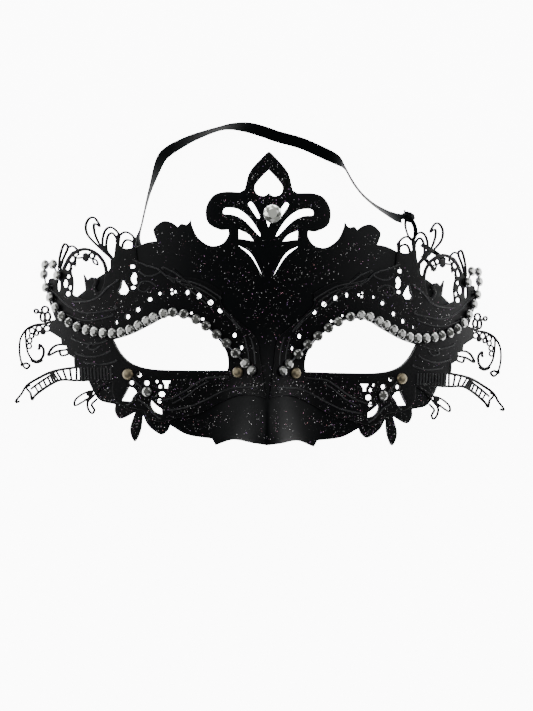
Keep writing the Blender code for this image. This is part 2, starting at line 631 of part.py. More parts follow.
def shell_half():
    """Right half of the moulded shell, closed along the midline, with its openings."""
    openings = [trace(HEART_HALF, False), trace(DROP_HALF, False), trace(EYE_RIM)]
    openings += [trace(slot) for slot in CROWN_SLOTS]
    openings += [trace(hole, steps=1) for hole in LARGE_HOLES + SHELL_WINDOWS]
    openings += [oval(hole) for hole in SMALL_HOLES + [TRIO_OPENING]]
    openings += [oval(brad_hole(place)) for place in BRAD_PLACES.values()]
    return Region(trace(SHELL_EDGE, False), openings)


def brad_hole(place):
    """Opening that clears a brad's shank."""
    width = (BRAD_SHANK_WIDTH + 4 * PIECE_GAP) / SQUARE
    spot = plumb(*on_grid(place), PIECE_GAP * 2 + LACE_THICKNESS) / SQUARE
    return Hole(spot.x, spot.y, width, width)


def between(places, share):
    """Place at a share of the way along a run of places."""
    spot = share * (len(places) - 1)
    index = min(int(spot), len(places) - 2)
    start, end = Vector(places[index]), Vector(places[index + 1])
    return start + (end - start) * (spot - index)


def ladder_rungs():
    """Short strands across the ladder arm."""
    rungs = []
    for index in range(RUNG_COUNT):
        share = index / (RUNG_COUNT - 1)
        top, foot = between(RUNG_TOP, share), between(RUNG_FOOT, share)
        rungs.append(Strand(RUNG_WIDTH, False, [tuple(top), tuple(foot)]))
    return rungs


def ring_strand(cell, width):
    """A small ring as a closed strand."""
    return Strand(width, True, [tuple(place) for place in oval(cell)])


def lace_regions():
    """Plate and strands of the right lace half."""
    holes = [trace(EYE_RIM)]
    holes += [trace(hole, steps=1) for hole in LARGE_HOLES + LACE_HOLES]
    holes += [oval(hole) for hole in SMALL_HOLES + WINDOW_HOLES + TRIO_HOLES + WING_HOLES]
    holes += [oval(brad_hole(place)) for place in BRAD_PLACES.values()]
    plate = trace(LACE_EDGE)
    regions = [Region(plate, holes)]
    strands = STRANDS + ladder_rungs()
    strands += [ring_strand(cell, ARM_CELL_STRAND) for cell in ARM_CELLS]
    strands += [ring_strand(cell, LOOP_STRAND) for cell in LOOP_CROWN]
    regions += [Region(oval(node)) for node in STRAND_NODES]
    for strand in strands:
        steps = 1 if len(strand.places) == 2 or strand.closed and len(strand.places) == 5 else 2
        outer, inner = strand_bands(strand, steps)
        regions.append(Region(outer, [inner] if inner else []))
    return regions


def plumb(x, y, offset):
    """Plan place on the face whose point at that distance from it shows over x, y."""
    near = Vector((x, y))
    for _ in range(3):
        normal = face_normal(*near)
        near = Vector((x - normal.x * offset, y - normal.y * offset))
    return near


def seat(x, y, offset):
    """Frame whose origin is over the face and whose third axis is the face's normal."""
    normal = face_normal(x, y)
    east = Vector((1, 0, 0))
    north = normal.cross(east).normalized()
    east = north.cross(normal).normalized()
    spot = face_point(x, y, offset)
    axes = Matrix((east, north, normal)).transposed().to_4x4()
    return Matrix.Translation(spot) @ axes


def add_rings(mesh, frame, rings, sides):
    """Loft a faceted turned body through rings of radius and height."""
    loops = []
    for radius, height in rings:
        circle = []
        for index in range(sides):
            turn = math.tau * (index + 0.5) / sides
            spot = Vector((radius * math.cos(turn), radius * math.sin(turn), height))
            circle.append(mesh.verts.new(frame @ spot))
        loops.append(circle)
    for low, high in zip(loops, loops[1:]):
        for index in range(sides):
            after = (index + 1) % sides
            mesh.faces.new((low[index], low[after], high[after], high[index]))
    mesh.faces.new(loops[0][::-1])
    mesh.faces.new(loops[-1])


def stone_rings(width, cup_height, crown_height):
    """Radius and height of a cup with a cut stone that ends in a flat table."""
    radius = width / 2
    return [(radius * 0.94, 0), (radius, cup_height),
            (radius * TABLE_SHARE, cup_height + crown_height)]


def chain_place(stone):
    """Grid place of a stone, counted along the chain."""
    for index, (start, end) in enumerate(zip(CHAIN_KEYS, CHAIN_KEYS[1:])):
        if stone <= end.stone:
            break
    around = [CHAIN_KEYS[max(index - 1, 0)], start, end,
              CHAIN_KEYS[min(index + 2, len(CHAIN_KEYS) - 1)]]
    places = [Vector((key.across, key.up)) for key in around]
    share = (stone - start.stone) / (end.stone - start.stone)
    return curve_between(*places, share)


def stone_chain(name, side, collection, cutters):
    """Cups with stones joined in one body by a thin strip under them."""
    lift = PIECE_GAP * 2 + LACE_THICKNESS
    body = bmesh.new()
    strip_width, strip_height = CHAIN_STRIP
    section = [(-0.5, 0), (0.5, 0), (0, 1)]
    spots = [plumb(*on_grid(chain_place(stone), side), lift + CUP_HEIGHT)
             for stone in range(STONES_PER_CHAIN)]
    loops = []
    for index, spot in enumerate(spots):
        ahead = spots[min(index + 1, len(spots) - 1)]
        behind = spots[max(index - 1, 0)]
        along = face_point(*ahead, lift) - face_point(*behind, lift)
        normal = face_normal(*spot)
        across = normal.cross(along).normalized()
        start = face_point(*spot, lift + 0.2 * MM)
        loops.append([body.verts.new(start + across * (wide * strip_width)
                                     + normal * (high * strip_height)) for wide, high in section])
    for low, high in zip(loops, loops[1:]):
        for corner in range(len(section)):
            after = (corner + 1) % len(section)
            body.faces.new((low[corner], high[corner], high[after], low[after]))
    body.faces.new(loops[0])
    body.faces.new(loops[-1][::-1])
    bmesh.ops.recalc_face_normals(body, faces=body.faces)
    mesh = bpy.data.meshes.new(name)
    body.to_mesh(mesh)
    body.free()
    chain = add_piece(name, mesh, "clear_stone", collection)
    rings = stone_rings(STONE_WIDTH, CUP_HEIGHT, STONE_CROWN)
    for index, spot in enumerate(spots):
        add_union(chain, f"{name}_stone_{index:02d}", seat(*spot, lift), rings, STONE_SIDES, cutters)
    return chain


def add_union(piece, name, frame, rings, sides, cutters):
    """Fuse a turned body to a piece."""
    body = bmesh.new()
    add_rings(body, frame, rings, sides)
    bmesh.ops.recalc_face_normals(body, faces=body.faces)
    mesh = bpy.data.meshes.new(name)
    body.to_mesh(mesh)
    body.free()
    tool = bpy.data.objects.new(name, mesh)
    tool.hide_render = True
    tool.display_type = "WIRE"
    cutters.objects.link(tool)
    union = piece.modifiers.new(name, "BOOLEAN")
    union.operation = "UNION"
    union.object = tool


def turned_piece(name, place, side, offset, rings, sides, look, collection):
    """A turned body seated on the face as a piece of its own."""
    body = bmesh.new()
    spot = plumb(*on_grid(place, side), offset)
    add_rings(body, seat(*spot, offset), rings, sides)
    bmesh.ops.recalc_face_normals(body, faces=body.faces)
    mesh = bpy.data.meshes.new(name)
    body.to_mesh(mesh)
    body.free()
    return add_piece(name, mesh, look, collection)


def split_brad(name, place, side, collection, cutters):
    """Domed head, shank through the sheets and two legs folded flat behind."""
    radius = BRAD_HEAD_WIDTH / 2
    top = PIECE_GAP * 2 + LACE_THICKNESS
    bottom = -SHELL_WALL - 2 * PIECE_GAP
    rings = [(radius * 0.97, 0), (radius, 0.35 * MM), (radius * 0.8, BRAD_HEAD_HEIGHT * 0.7),
             (radius * 0.42, BRAD_HEAD_HEIGHT)]
    head = turned_piece(name, place, side, top, rings, BRAD_SIDES, "brass", collection)
    shank_radius = BRAD_SHANK_WIDTH / 2
    frame = seat(*plumb(*on_grid(place, side), top), bottom - BRAD_LEG[2])
    length = top - bottom + BRAD_LEG[2] + 0.4 * MM
    add_union(head, name + "_shank", frame, [(shank_radius, 0), (shank_radius, length)], 8, cutters)
    leg = bmesh.new()
    half_width, reach, thickness = BRAD_LEG[0] / 2, BRAD_LEG[1], BRAD_LEG[2]
    box = bmesh.ops.create_cube(leg, size=1)["verts"]
    bmesh.ops.scale(leg, vec=(2 * reach, 2 * half_width, thickness), verts=box)
    bmesh.ops.transform(leg, matrix=frame @ Matrix.Translation((0, 0, thickness / 2)), verts=box)
    mesh = bpy.data.meshes.new(name + "_legs")
    leg.to_mesh(mesh)
    leg.free()
    tool = bpy.data.objects.new(name + "_legs", mesh)
    tool.hide_render = True
    tool.display_type = "WIRE"
    cutters.objects.link(tool)
    union = head.modifiers.new("legs", "BOOLEAN")
    union.operation = "UNION"
    union.object = tool
    return head


def curve_piece(name, places, tilts, half_width, half_thickness, closed, look, collection):
    """A flat strip or round strand along places, from a curve with a bevel."""
    curve = bpy.data.curves.new(name, "CURVE")
    curve.dimensions = "3D"
    curve.twist_mode = "Z_UP"
    curve.bevel_depth = half_thickness
    curve.bevel_resolution = 0
    curve.extrude = max(half_width - half_thickness, 0)
    curve.use_fill_caps = True
    spline = curve.splines.new("POLY")
    spline.points.add(len(places) - 1)
    for point, place, tilt in zip(spline.points, places, tilts):
        point.co = (*place, 1)
        point.tilt = math.pi / 2 - tilt
    spline.use_cyclic_u = closed
    guide = bpy.data.objects.new(name + "_guide", curve)
    bpy.context.scene.collection.objects.link(guide)
    view = bpy.context.evaluated_depsgraph_get()
    mesh = bpy.data.meshes.new_from_object(guide.evaluated_get(view))
    bpy.data.objects.remove(guide, do_unlink=True)
    body = bmesh.new()
    body.from_mesh(mesh)
    bmesh.ops.remove_doubles(body, verts=body.verts, dist=0.01 * MM)
    bmesh.ops.recalc_face_normals(body, faces=body.faces)
    body.to_mesh(mesh)
    body.free()
    return add_piece(name, mesh, look, collection)


def ribbon_path(steps=1):
    """Smooth run through the ribbon's keys, with its height and tilt."""
    rows = [Vector((key.across * SQUARE, key.up * SQUARE, key.height * MM, key.tilt))
            for key in RIBBON_ROUTE]
    path = []
    for index in range(len(rows) - 1):
        around = [rows[max(index - 1, 0)], rows[index], rows[index + 1],
                  rows[min(index + 2, len(rows) - 1)]]
        for step in range(steps):
            path.append(curve_between(*around, step / steps))
    path.append(rows[-1])
    return [row.xyz for row in path], [math.radians(row.w) for row in path]


def ribbon_knot(collection, cutters):
    """Tight knot above the curl, with the loop that goes round the curl's top."""
    frame = seat(*on_grid(KNOT_PLACE), PIECE_GAP + LACE_THICKNESS / 2)
    ball = bmesh.new()
    verts = bmesh.ops.create_icosphere(ball, subdivisions=2, radius=0.5)["verts"]
    bmesh.ops.scale(ball, vec=KNOT_SIZE, verts=verts)
    bmesh.ops.transform(ball, matrix=frame, verts=verts)
    mesh = bpy.data.meshes.new("ribbon_knot")
    ball.to_mesh(mesh)
    ball.free()
    knot = add_piece("ribbon_knot", mesh, "satin_ribbon", collection)
    loop = [(0, 0.6, 0.3), (0, -3.0, 1.7), (0.2, -7.6, 2.0), (0.2, -9.6, 0.9), (0.2, -9.6, -0.8),
            (0.2, -7.6, -1.9), (0, -3.0, -1.6), (0, 0.4, -0.4)]
    places = [frame @ (Vector(spot) * MM) for spot in loop]
    strand = curve_piece("ribbon_loop", places, [0] * len(places), KNOT_STRAND, KNOT_STRAND,
                         False, "satin_ribbon", cutters)
    strand.hide_render = True
    strand.display_type = "WIRE"
    union = knot.modifiers.new("loop", "BOOLEAN")
    union.operation = "UNION"
    union.object = strand
    return knot


def main():
    """Build every piece of the mask."""
    parts, cutters = start_collections()
    shell = bent_sheet("base_shell", [shell_half()], 0.0, "base_plastic", parts)
    other_half = shell.modifiers.new("other_half", "MIRROR")
    other_half.merge_threshold = MIRROR_MERGE
    add_wall(shell, SHELL_WALL, -1)
    rings = stone_rings(STONE_WIDTH, CUP_HEIGHT, STONE_CROWN)
    over_lace = PIECE_GAP * 2 + LACE_THICKNESS
    lace = bent_sheet("filigree_right", lace_regions(), PIECE_GAP, "lace_metal", parts)
    add_wall(lace, LACE_THICKNESS, 1)
    mirror_sheet(lace, "filigree_left", "lace_metal", parts)
    for word, side in (("left", -1), ("right", 1)):
        stone_chain(f"stone_chain_{word}", side, parts, cutters)
        turned_piece(f"flower_stone_{word}", FLOWER_STONE_PLACE, side, over_lace, rings,
                     STONE_SIDES, "clear_stone", parts)
        for place_name, place in BRAD_PLACES.items():
            split_brad(f"{place_name}_brad_{word}", place, side, parts, cutters)
    crown_rings = stone_rings(CROWN_STONE_WIDTH, 1.6 * MM, 1.5 * MM)
    turned_piece("crown_stone", CROWN_STONE_PLACE, 1, PIECE_GAP, crown_rings, 2 * STONE_SIDES,
                 "clear_stone", parts)
    places, tilts = ribbon_path()
    curve_piece("ribbon", places, tilts, RIBBON_WIDTH / 2, RIBBON_THICKNESS / 2, False,
                "satin_ribbon", parts)
    ribbon_knot(parts, cutters)


main()
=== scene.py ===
"""Pierced black party mask with crown, lace overlays, stone chains and a ribbon, on a pale floor.

Front outlines are drawn on a square grid whose square is the mask's width over GRID_SQUARES.
Tables give places on that grid: across from the midline, up from the middle of the height.
"""

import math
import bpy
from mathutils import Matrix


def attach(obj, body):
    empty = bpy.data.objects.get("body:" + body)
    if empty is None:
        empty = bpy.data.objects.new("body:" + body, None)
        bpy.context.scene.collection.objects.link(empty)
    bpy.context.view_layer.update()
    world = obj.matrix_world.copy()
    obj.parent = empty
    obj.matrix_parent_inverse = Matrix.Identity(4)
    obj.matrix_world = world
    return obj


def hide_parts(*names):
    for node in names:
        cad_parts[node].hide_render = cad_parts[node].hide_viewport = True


bl_info = {
    "name": "Filigree Mask",
    "version": (1, 0, 0),
    "blender": (4, 5, 0),
    "location": "3D View > Sidebar > Mask",
    "description": "Builds a pierced party mask with stones, brads and a satin ribbon",
    "category": "Object",
}

from collections import namedtuple

import bmesh
import bpy
import numpy as np
from mathutils import Matrix, Vector
from mathutils.geometry import delaunay_2d_cdt

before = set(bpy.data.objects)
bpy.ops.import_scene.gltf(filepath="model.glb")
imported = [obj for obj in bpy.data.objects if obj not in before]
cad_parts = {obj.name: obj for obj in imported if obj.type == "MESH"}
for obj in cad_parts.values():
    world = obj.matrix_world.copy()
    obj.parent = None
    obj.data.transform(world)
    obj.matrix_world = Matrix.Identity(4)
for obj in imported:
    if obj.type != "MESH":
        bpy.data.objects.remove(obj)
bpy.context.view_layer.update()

MM = 0.001

# Sizes of the moulded and cut parts
MASK_WIDTH = 218.7 * MM
GRID_SQUARES = 486
SQUARE = MASK_WIDTH / GRID_SQUARES
CREST_HEIGHT = 44.7 * MM
SHELL_WALL = 1.2 * MM
PIECE_GAP = 0.3 * MM
LACE_THICKNESS = 0.8 * MM
STONE_WIDTH = 4.4 * MM
STONES_PER_CHAIN = 29
CUP_HEIGHT = 1.25 * MM
CUP_SIDES = 20
CLAW_SHARE = 0.055
CLAW_SIDES = 6
STONE_CROWN = 0.75 * MM
# Rings of a cut stone: share of its radius, share of its crown's height, sides and turn
STONE_RINGS = ((0.55, 1, 8, 0), (0.8, 0.62, 8, 0.5), (1, 0.12, 16, 0), (0.96, -0.4, 16, 0))

# Bend of the face, seen from above
SIDE_BEND = 4.88
SIDE_CURL = 756.0
FLARE = 66.0
FLARE_START = 97.0 * MM
SIDE_TWIST = 4.3
TWIST_CENTRE = -9.5 * MM
CROWN_LEAN = 1.2
LEAN_CENTRE = -10.0 * MM
NOSE_TOP = -9.0 * MM
NOSE_BOTTOM = -66.0 * MM
NOSE_HEIGHT = 17.0 * MM
NOSE_HALF_WIDTH = (8.0 * MM, 14.0 * MM)

# The photograph's frame and view
PHOTO_SIZE = (533, 711)
PHOTO_ORIGIN = (261, 298.6)
CAMERA_YAW = math.radians(3.84)
CAMERA_ROLL = math.radians(0.94)
CAMERA_DISTANCE = 8.0
SHARP_DEPTH = 30 * MM
SENSOR = 36.0

# Fineness of the meshes, and the angles under which faces blend, in degrees
SHEET_BLEND = 60
BRAD_BLEND = 40
RIBBON_BLEND = 50
CURVE_STEPS = 6
OVAL_SIDES = 14
JOIN_DISTANCE = 0.02 * MM
MIRROR_MERGE = 0.02 * MM
SHORTEST_EDGE = 0.08 * MM

Hole = namedtuple("Hole", "across up width height")
Strand = namedtuple("Strand", "width places closed", defaults=(False,))
StoneKey = namedtuple("StoneKey", "stone across up")
RibbonKey = namedtuple("RibbonKey", "across up height tilt")
Streak = namedtuple("Streak", "strength reach places")
BlackLook = namedtuple("BlackLook", "body worn roughness density grain_depth flakes")

SIDES = (("left", -1), ("right", 1))


def rows(kind, values):
    """Named rows from plain ones."""
    return [kind(*row) for row in values]


# Marks the corners of outlines; their other places are passed smoothly
SHARP = "sharp"

# Right half of the shell's outline, from the crown's tip down to the chin edge
SHELL_EDGE = [
    (0, 147.3, SHARP), (4, 144), (18.6, 127.5), (23.4, 112), (24, 109, SHARP), (29, 106, SHARP),
    (45, 106), (56, 101.5), (62.6, 89), (60.5, 75), (49, 68.3), (40, 68.4, SHARP), (40.3, 62),
    (46.5, 54), (58, 52), (70, 59.8), (75.9, 70.8), (77.4, 77.6, SHARP), (81.3, 72.9),
    (87, 73.5), (90, 70.3, SHARP), (97, 75), (105.5, 75.6), (113.8, 68.5), (113.2, 62),
    (110.8, 56, SHARP), (121, 54), (131, 49.5, SHARP), (138, 42), (148, 36, SHARP),
    (153, 27, SHARP), (160, 23.8), (169.5, 17.6, SHARP), (174, 19), (178, 15.5, SHARP),
    (181.4, 21.5, SHARP), (179.5, 6, SHARP), (190, -3), (199, -10), (204, -22, SHARP),
    (207, -36), (198, -43, SHARP), (197, -50), (186, -62, SHARP), (184, -72, SHARP),
    (176, -84, SHARP), (171.4, -94), (164, -104.5), (149.2, -108.3, SHARP), (149.2, -116),
    (143.5, -122.6), (129.5, -115.6, SHARP), (134.2, -133), (129.2, -145), (123.6, -134),
    (121.8, -118, SHARP), (116, -129), (104, -137.6), (97.4, -134), (94.5, -128.2, SHARP),
    (77.3, -137.4), (53, -141, SHARP), (49.5, -147.4, SHARP), (33, -141.5), (15, -144.5),
    (0, -146.6, SHARP),
]

# Rim of the eye opening, from the outer corner round under the eye
EYE_RIM = [
    (151.9, -43.5, SHARP), (144.5, -56.5), (133, -67), (113, -72.3), (76, -73),
    (38.8, -72.4, SHARP), (38, -64), (42.1, -50.3), (56.5, -33.3), (77.8, -20.8), (98.2, -19.2),
    (116.8, -28.6), (135.2, -38),
]

# Openings of the crown and the forehead, right half
HEART_HALF = [
    (0, 129, SHARP), (7, 122), (14, 112.5), (12, 104.8), (5, 102.6), (0, 105.5, SHARP),
]
DROP_HALF = [(0, 90, SHARP), (3.2, 84), (1.6, 76), (0, 71.5, SHARP)]
CROWN_SLOTS = [
    [(43, 90.2), (30, 88.8), (18, 79.5), (8.6, 65.3), (9.8, 63.4), (24, 77.6), (35, 83),
     (45, 84.3)],
    [(20.4, 94.4), (16.4, 96), (9, 83), (10.6, 80), (17, 88.5)],
    [(29.8, 68.6, SHARP), (20, 64), (14.6, 57.4, SHARP), (29.6, 59.6, SHARP)],
    [(30.5, 53.2, SHARP), (17, 44.4), (4.9, 21.9, SHARP), (16.6, 41)],
]

# Outline of the lace plate, right half, from the brow's inner end round the temple
LACE_EDGE = [
    (46, 6, SHARP), (56.5, 12.8), (70.4, 18.2), (84, 19.6, SHARP), (93.2, 28, SHARP),
    (99.5, 19.4, SHARP), (107.5, 27), (129, 34.6, SHARP), (130.8, 52, SHARP), (135, 48),
    (142, 48), (146, 51, SHARP), (149.8, 49, SHARP), (151.5, 38, SHARP), (154.6, 37.6, SHARP),
    (154.4, 28, SHARP), (158.4, 22, SHARP), (159.5, 9), (166, -3), (180, -4), (190.4, 1, SHARP),
    (189.6, 14), (191.6, 25), (187.6, 29.5, SHARP), (187, 39, SHARP), (184, 41, SHARP),
    (185.8, 46.4, SHARP), (193, 41.5), (199, 27, SHARP), (203.6, 25, SHARP),
    (207.5, 17.5, SHARP), (212.5, 16, SHARP), (214.6, 2), (206.4, -24.6, SHARP),
    (211.4, -30, SHARP), (211.6, -36.6, SHARP), (201, -43.4, SHARP), (200.4, -49, SHARP),
    (195.4, -51, SHARP), (195, -58, SHARP), (187.8, -63, SHARP), (187.2, -71.6, SHARP),
    (183.6, -73, SHARP), (182.6, -86, SHARP), (165, -85), (151, -85.6, SHARP), (151, -97),
    (145, -107), (133, -111), (121, -113.4, SHARP), (116, -121), (104, -124.6), (84, -119.6),
    (67, -115.8), (46.7, -105), (25, -96.6), (9, -97.4), (2, -99.5, SHARP), (5.4, -74),
    (8.4, -48, SHARP), (13, -37), (34, -19), (46, -6),
]

# Openings shaped by outlines that go through lace and shell
LARGE_HOLES = [
    [(143.5, 16.6), (139, 11), (136.6, 6, SHARP), (139.1, 1.8, SHARP), (145.4, 1.8, SHARP),
     (147.4, 5, SHARP), (145.2, 8.7, SHARP)],
    [(135.8, -90.4, SHARP), (130.7, -91.5), (127.4, -95.5, SHARP), (131, -100),
     (133, -105, SHARP), (143, -104.3, SHARP), (139.1, -97.4, SHARP)],
    [(114, -102.6, SHARP), (108.5, -108), (102.8, -112, SHARP), (102.4, -117.6, SHARP),
     (109.5, -115), (113.6, -109.5)],
]

# Shaped openings of the lace alone, over the shell's wider ones
LACE_HOLES = [
    [(131.6, 24), (129, 20.5), (129.8, 17.4, SHARP), (129, 13.4), (132, 12.2), (134.8, 17.8)],
    [(94.4, -83.6, SHARP), (103, -83.6, SHARP), (100.4, -87.5, SHARP), (100.4, -91, SHARP),
     (97.4, -91, SHARP), (97.2, -87.5, SHARP)],
]

# Wider openings of the shell under groups of small lace openings
SHELL_WINDOWS = [
    [(130.4, 32.6, SHARP), (136.8, 31.6, SHARP), (136, 18, SHARP), (135.6, 6, SHARP),
     (129.6, 6, SHARP), (128.2, 20, SHARP)],
    [(92.6, -82.4, SHARP), (110.6, -82.4, SHARP), (107.6, -91, SHARP), (106.6, -98, SHARP),
     (107.8, -105.2, SHARP), (104.4, -107, SHARP), (99.2, -98, SHARP), (96.4, -92, SHARP)],
]

# Small round openings through lace and shell
SMALL_HOLES = rows(Hole, [
    (148.6, -26.1, 3.2, 5), (137.7, -20.3, 5, 5), (127.9, -13.1, 5, 4.6), (116.4, -2.7, 5, 4.2),
    (106.9, 3.3, 3.4, 3.4), (79.7, 4.8, 3.6, 5), (68.2, 1.6, 4.6, 6), (56.8, -4.8, 5.4, 5),
    (47, -12.8, 4.6, 4.6), (32.3, -37.2, 3.6, 4.6), (25.1, -49.5, 2.8, 4.6),
    (64.3, -21.5, 3.4, 2.8), (75.5, -15.7, 3, 2.4), (125.7, -78.3, 5.4, 4.6),
    (133, -86.2, 5, 4.6), (118.2, -86.2, 5.6, 5.2),
])
WINDOW_HOLES = rows(Hole, [
    (133.4, 29.6, 5.2, 4), (132.6, 8.6, 5, 3.4), (108.1, -84.7, 3.2, 2.8),
    (104.8, -89.6, 3.2, 3.6), (102.9, -97, 6, 5.4), (105.3, -104, 4.2, 4.6),
])
TRIO_HOLES = [Hole(95.3, 7.4, 2.6, 2.4), Hole(94.6, 3.4, 2.4, 2.4), Hole(91.4, 5.2, 2.4, 2.6)]
TRIO_OPENING = Hole(93.8, 5.4, 7.4, 7.4)

# Openings through the lace alone, out on the wing
WING_HOLES = rows(Hole, [
    (187.8, 41.6, 3.4, 4.4), (191.4, 36.4, 4.6, 5.6), (195.2, 29, 4.4, 8), (190, 28.6, 3, 3.4),
    (194.4, 18.8, 3.4, 3.8), (197, 11.6, 4.4, 8.4), (192.6, 7.8, 3, 4.4), (194.6, 1.6, 4.6, 5),
    (203.2, 9.4, 3, 12),
])

# Strands of the wing: curls, scroll, leaves, arms and the flourish under the cheek
STRANDS = [
    # Hooked curl
    Strand(2.0, [(155, 39), (165.6, 48.6), (176.3, 60.4), (178.4, 70), (175.3, 77),
                 (170.6, 78.2), (166.6, 73.3), (165.2, 69.4), (167.6, 71.2), (170.6, 71.2),
                 (170, 63.3), (166, 53), (160, 44.6)]),
    Strand(3.4, [(152.6, 37), (158, 43.4), (161.2, 49)]),
    # Second curl with its inner loop
    Strand(2.0, [(160.6, 46.8), (162.3, 56), (159.8, 65.4), (154.8, 68.8), (149.6, 65.6),
                 (147, 59)]),
    Strand(2.0, [(155.2, 40), (158.8, 49), (157.4, 59.5), (153.6, 63), (150.1, 59.6),
                 (149, 54)]),
    Strand(3.4, [(147, 61.6), (147.6, 54), (149, 46)]),
    # Third curl with its inner loop
    Strand(2.0, [(147, 57), (144, 62.6), (139, 64), (133.6, 60.4), (131.6, 55)]),
    Strand(2.0, [(142.8, 49), (141.4, 54.8), (137.4, 56.2), (132.8, 53)]),
    Strand(3.2, [(131.6, 58), (132.2, 47)]),
    # Great scroll and its inner end on the temple
    Strand(3.0, [(199.4, 14), (200.2, 22), (197, 31), (192.8, 38.9), (185, 45), (176.3, 46.2),
                 (166.6, 41), (159.8, 30.4), (158.4, 16), (161.6, 5), (166, 2), (170, 8),
                 (169.6, 17)]),
    Strand(1.8, [(186, 37.4), (174.3, 38.9)]),
    Strand(5.4, [(178.2, 41.4), (178.2, 35.4)]),
    Strand(1.8, [(172.4, 43), (175.2, 40), (172.4, 37), (169.6, 40)], True),
    Strand(1.5, [(171.4, 36.6), (168, 35.3), (166.8, 31), (170.4, 32.8)], True),
    # Leaves outside the scroll
    Strand(1.9, [(203.2, 25), (203, 36), (200.6, 47), (198, 51.6), (195.2, 47.9),
                 (199.4, 37)], True),
    Strand(1.8, [(195, 47.5), (190.4, 49.4), (186.4, 45)]),
    # Upper arm: outer band, inner band, hook and spiral
    Strand(2.2, [(206, -28.4), (217, -29), (226.7, -30.6), (235.6, -35.6), (241.4, -45),
                 (242, -59), (239, -70), (234.6, -74), (231.4, -70.6), (235, -68.6),
                 (239, -68)]),
    Strand(2.0, [(234.6, -35.6), (235.4, -47.8), (232.6, -59.6), (225.4, -67.2), (218.6, -62.4),
                 (217.6, -54.5), (221.6, -49.6), (222.8, -54)]),
    Strand(3.6, [(229, -65), (224.6, -67.2), (220, -65)]),
    # Middle leaf
    Strand(2.0, [(194, -50.4), (203, -49.4), (209.4, -53), (213, -60.4), (204.4, -56),
                 (195, -54)], True),
    Strand(1.8, [(201.6, -55), (200.2, -60.6), (192, -57)]),
    # Link from the stones' loops to the outermost loop
    Strand(2.4, [(217.6, -18.4), (224, -17)]),
    # Ladder arm with its outer crescent
    Strand(2.4, [(178, -72.6), (190.9, -72.6), (208.3, -76.3), (221.9, -83.1), (233.5, -90.4),
                 (239, -98.4), (241.8, -107)]),
    Strand(2.2, [(180, -85), (188.5, -84.9), (201.5, -84.9), (213.1, -91), (225, -100.2),
                 (228.6, -105), (230, -99), (231, -90.6)]),
    Strand(1.8, [(207.6, -76.4), (211.2, -80.6), (220.9, -87.4), (230, -94.4)]),
    # Flourish under the cheek, hung from the lace by a line across the shell
    Strand(1.7, [(171, -95), (180, -98.4), (186.8, -104.4), (187, -110), (179.6, -106),
                 (173, -101)], True),
    Strand(1.8, [(148, -84), (161, -89.6), (169.6, -100), (174.8, -106), (174.4, -113),
                 (170.6, -117.6), (168.4, -114), (171, -108.6), (166, -103)]),
    Strand(1.8, [(160, -89.4), (172, -96)]),
    Strand(1.6, [(177.6, -103.6), (174, -106)]),
]

# Lace cells inside the upper arm, as small rings hung on the bands
ARM_CELLS = rows(Hole, [
    (214.4, -33.4, 6.4, 6), (222.2, -33.8, 6, 6), (229.2, -36, 5.6, 6), (224.6, -38.4, 3.6, 4.6),
    (229.6, -41, 4.4, 5), (231.6, -46, 4.6, 5), (232, -51.4, 4.6, 5),
])
ARM_CELL_STRAND = 1.5

# Small filled discs where strands gather, in the arm and in the flourish
STRAND_NODES = [Hole(218.4, -37.4, 5, 5), Hole(173.2, -98.2, 6, 5)]

# Crown of small loops outside the stones
LOOP_CROWN = rows(Hole, [
    (216.4, -14.8, 6.4, 7), (214, -21.4, 5.4, 8), (218.6, -22, 4.6, 9), (213.4, -28, 6, 6),
    (225, -16.4, 4, 4),
])
LOOP_STRAND = 1.7

# Ladder rungs, evenly spaced between the two lines of the ladder arm
RUNG_COUNT = 11
RUNG_WIDTH = 1.5
RUNG_TOP = [(186, -72.6), (207.6, -76.4), (212, -81), (226, -91.4)]
RUNG_FOOT = [(186, -85), (201.5, -84.9), (209, -88.4), (222, -98)]

# Chain of stones, from beside the nose over the eye and up the wing's edge
CHAIN_KEYS = rows(StoneKey, [
    (0, 16.2, -71.8), (3, 41, -45.3), (6, 71.3, -22.1), (8, 94.5, -15.4), (10, 113.3, -20.7),
    (14, 145, -36.1), (18, 178.9, -34), (21, 202.5, -20.9), (24, 218, 8.1), (26, 218.8, 30.7),
    (27, 211.2, 31.2), (28, 207.4, 20.3),
])

FLOWER_STONE_PLACE = (117.8, -94.8)
CROWN_STONE_PLACE = (3.5, 84.4)
CROWN_STONE_WIDTH = 8.4 * MM
BRAD_PLACES = {"nose": (29.0, -73.8), "cheek": (137.2, -77.8)}
BRAD_HEAD_WIDTH = 5.2 * MM
BRAD_HEAD_HEIGHT = 1.7 * MM
BRAD_SHANK_WIDTH = 1.6 * MM
BRAD_RIM_HEIGHT = 0.4 * MM
BRAD_HEAD_SIDES = 28
BRAD_SHANK_SIDES = 12
DOME_STEPS = 8
DOME_TURN = math.radians(84)
BRAD_LEG = (1.4 * MM, 4.6 * MM, 0.5 * MM)

